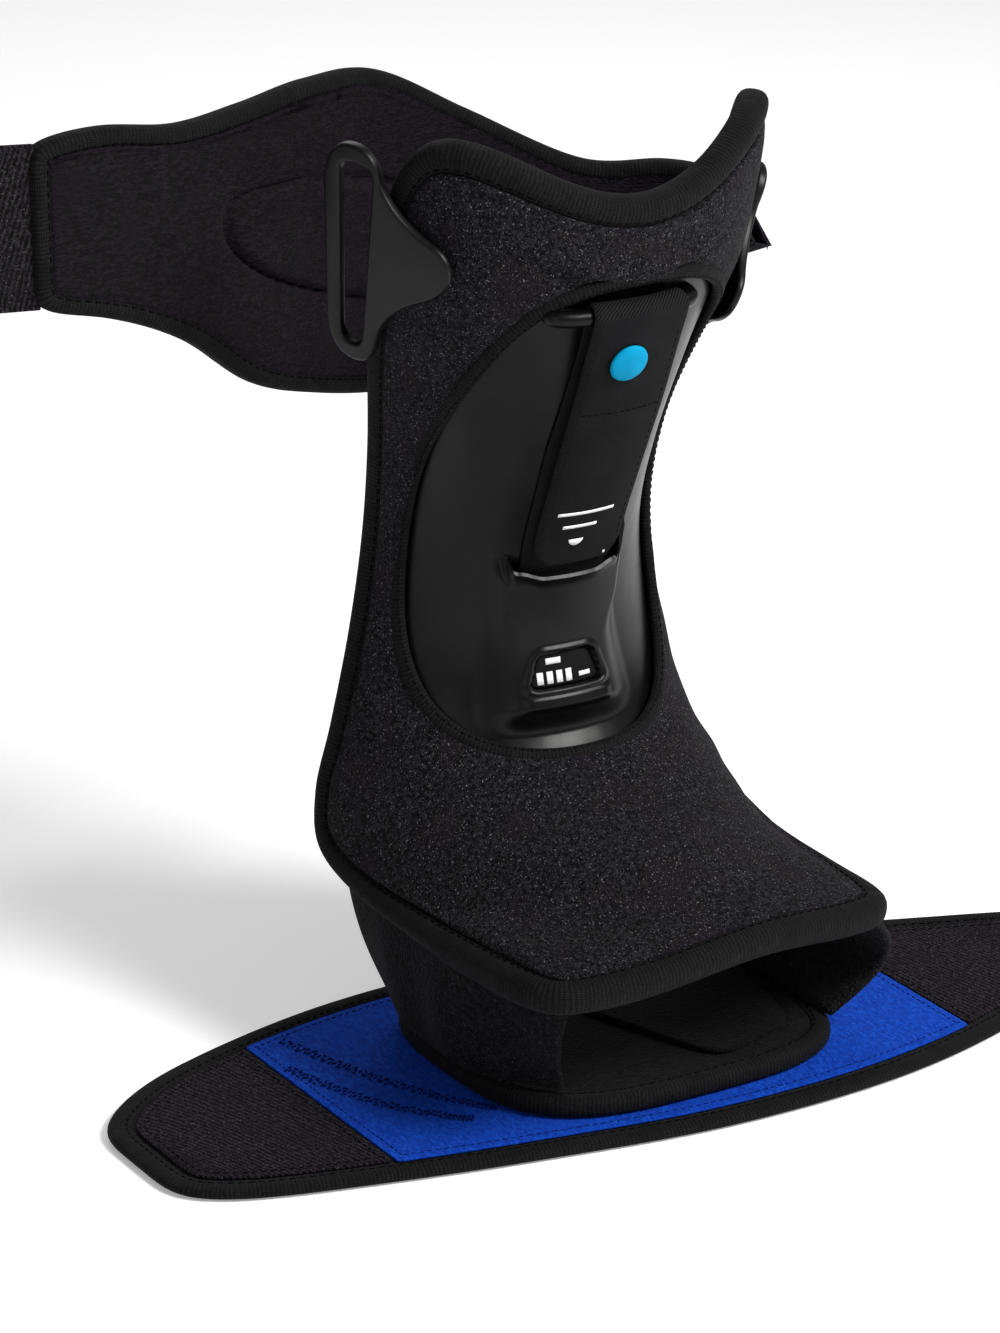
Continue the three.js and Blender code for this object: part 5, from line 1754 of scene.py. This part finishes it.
@dataclass(frozen=True)
class FootLoop:
    """Sole pad with its binding, two side walls and a loose flap."""

    half_x: float = 60.0
    half_y: float = 52.5
    middle: tuple[float, float] = (1.5, -4.0)
    spread: float = 2.5
    lean: float = 0.06
    crease: float = 0.5
    sole_z: float = 4.0
    thickness: float = 5.6
    binding: float = 6.6
    wall_thickness: float = 3.0
    tuck: float = 1.6
    flap_thickness: float = 2.0
    bulges: tuple[float, float] = (3.0, 12.0)
    steps: tuple[int, int] = (60, 54)

    def outline(self) -> np.ndarray:
        """Outline of the sole pad."""
        q = round_square(square_loop(*self.steps), 3.2)
        spread = self.spread * smooth(0, 1, q[:, 0]) * smooth(0, -1, q[:, 1])
        x = self.middle[0] + self.half_x * q[:, 0] + spread
        y = self.middle[1] + self.half_y * q[:, 1] - self.lean * self.half_x * q[:, 0]
        return np.stack([x, y], -1)

    def wall(self, side: int, table: Sections, bulge: float) -> Surface:
        """Middle surface of a side wall: u from front to rear, b from foot to head."""
        def surface(u: np.ndarray, b: np.ndarray) -> np.ndarray:
            r = table.at(np.asarray(u, float))
            foot = np.stack([side * self.half_x * r[..., 0], self.half_x * r[..., 1],
                             np.full(r.shape[:-1], self.sole_z + self.binding + GAP)], -1)
            seat = Seat.on(form, np.stack([r[..., 2], np.full(r.shape[:-1], float(side))], -1))
            inner = unit(np.cross(seat.normal, seat.da))
            inner = np.where(inner[..., :1] * side > 0, -inner, inner)
            head = seat.place + inner * (HALF_WIDTH * r[..., 3:4])
            head = head - seat.normal * (Form.binding_thickness - self.tuck)
            place = mix(foot, head, np.asarray(b)[..., None])
            place[..., 0] += side * bulge * np.sin(math.pi * np.clip(b, 0, 1))
            return place
        return surface

    def build(self) -> None:
        """Builds the foot loop's pieces."""
        outline = self.outline()
        tube = Tube(flat, outline, self.binding, self.binding, self.sole_z + self.binding / 2)
        bind(tube, "sole_binding", faces=1)
        loop = inset(flat, outline, self.binding - 1)
        pad = Pad(flat, loop, self.steps, self.sole_z + self.thickness, self.sole_z, 1.4)
        pad.mesher().place("sole_pad_cloth", Finish.SOLE, "sole_pad")
        steps, half = (48, 24), self.wall_thickness / 2
        for node, side, table, bulge, area in (
                ("left_wall", -1, LEFT_WALL, self.bulges[0], 0.0042),
                ("right_wall", 1, RIGHT_WALL, self.bulges[1], 0.0046)):
            q = (1 + square_loop(*steps)) / 2 * np.array([len(table.rows) - 1, 1])
            pad = Pad(self.wall(side, table, bulge), q, steps, half, -half, 1.4, self.creases,
                      self.creases)
            piece = pad.mesher().place(node + "_cloth", Finish.WALL, node)
        self.flap()

    def creases(self, q: np.ndarray) -> np.ndarray:
        """Soft upright creases in a side wall."""
        u, b = q[..., 0], q[..., 1]
        return self.crease * np.sin(5.2 * u + 1.4 * b) * np.sin(math.pi * np.clip(b, 0, 1))

    def flap(self) -> None:
        """Builds the loose flap on the sole pad."""
        corners = np.array([(0.190, -0.793), (0.737, -0.659), (0.838, -0.335), (0.826, 0.223),
                            (0.614, 0.536), (-0.190, 0.536), (-0.078, 0.000)]) * self.half_x
        fine = np.concatenate([np.linspace(a, b, 24, endpoint=False) for a, b in
                               zip(corners, np.roll(corners, -1, 0))])
        for _ in range(30):
            fine = 0.5 * fine + 0.25 * (np.roll(fine, 1, 0) + np.roll(fine, -1, 0))
        low = self.sole_z + self.thickness + GAP
        pad = Pad(flat, fine, (36, 48), low + self.flap_thickness, low, 0.8)
        piece = pad.mesher().place("inner_flap_cloth", Finish.SOLE, "inner_flap")


# The studio


@dataclass(frozen=True)
class Studio:
    """Floor, lights and camera."""

    azimuth: float = -33.0
    elevation: float = 21.5
    focal_px: float = 4500.0
    photo_height: float = 1333.0
    distance: float = 1406.25
    right_shift: float = -31.25
    up_shift: float = 116.7
    aim: tuple[float, float, float] = (0, 0, 0.13)
    floor_half: float = 4.0
    floor_z: float = -0.0002

    def camera(self) -> None:
        """Puts the camera at the photograph's angle."""
        a, e = math.radians(self.azimuth), math.radians(self.elevation)
        back = Vector((math.sin(a) * math.cos(e), -math.cos(a) * math.cos(e), math.sin(e)))
        right = Vector((math.cos(a), math.sin(a), 0))
        up = back.cross(right)
        data = bpy.data.cameras.new("camera")
        data.sensor_width = 36.0
        data.lens = 36.0 * self.focal_px / self.photo_height
        data.clip_start = 0.05
        camera = add_object("camera", data)
        camera.rotation_euler = Matrix((right, up, back)).transposed().to_euler()
        place = back * self.distance + right * self.right_shift + up * self.up_shift
        camera.location = place * MM
        bpy.context.scene.camera = camera

    def light(self, name: str, place: Sequence[float], size: float, power: float,
              colour: Colour) -> None:
        """Adds a soft square light that faces the splint."""
        data = bpy.data.lights.new(name, "AREA")
        data.shape = "SQUARE"
        data.size = size
        data.energy = power
        data.color = colour
        lamp = add_object(name, data)
        lamp.location = place
        aim = Vector(self.aim) - Vector(place)
        lamp.rotation_euler = aim.to_track_quat("-Z", "Y").to_euler()

    def build(self) -> None:
        """Builds the floor, the lights, the world and the camera."""
        floor = bpy.data.meshes.new("floor")
        corners = [(x * self.floor_half, y * self.floor_half, self.floor_z)
                   for x, y in ((-1, -1), (1, -1), (1, 1), (-1, 1))]
        floor.from_pydata(corners, [], [(0, 1, 2, 3)])
        floor.materials.append(Finish.FLOOR.material())
        ground = add_object("floor", floor)
        self.light("key_light", (0.62, -0.98, 1.2), 0.6, 34.0, (1.0, 0.99, 0.97))
        self.light("fill_light", (-1.1, -0.9, 0.7), 0.7, 2.5, (0.97, 0.98, 1.0))
        self.light("rim_light", (0.5, 1.2, 1.2), 0.9, 7.0, (1.0, 1.0, 1.0))
        world = bpy.data.worlds.new("world")
        world.use_nodes = True
        background = world.node_tree.nodes["Background"]
        background.inputs["Color"].default_value = (1.0, 1.0, 1.0, 1.0)
        background.inputs["Strength"].default_value = 0.24
        bpy.context.scene.world = world
        bpy.context.scene.view_settings.view_transform = "Standard"
        self.camera()


def main() -> None:
    """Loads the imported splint, dresses it and sets the scene."""
    logging.basicConfig(level=logging.INFO, format="%(name)s: %(message)s")
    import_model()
    shell = Shell()
    for part in (EdgeBinding(), shell, FrontCover(), Liner(), TensionStrap(shell), LEFT_LOOP,
                 RIGHT_LOOP, CalfWing(), FoldStrap(), FootStrap(), FootLoop(), Studio()):
        part.build()


if __name__ == "__main__":
    main()
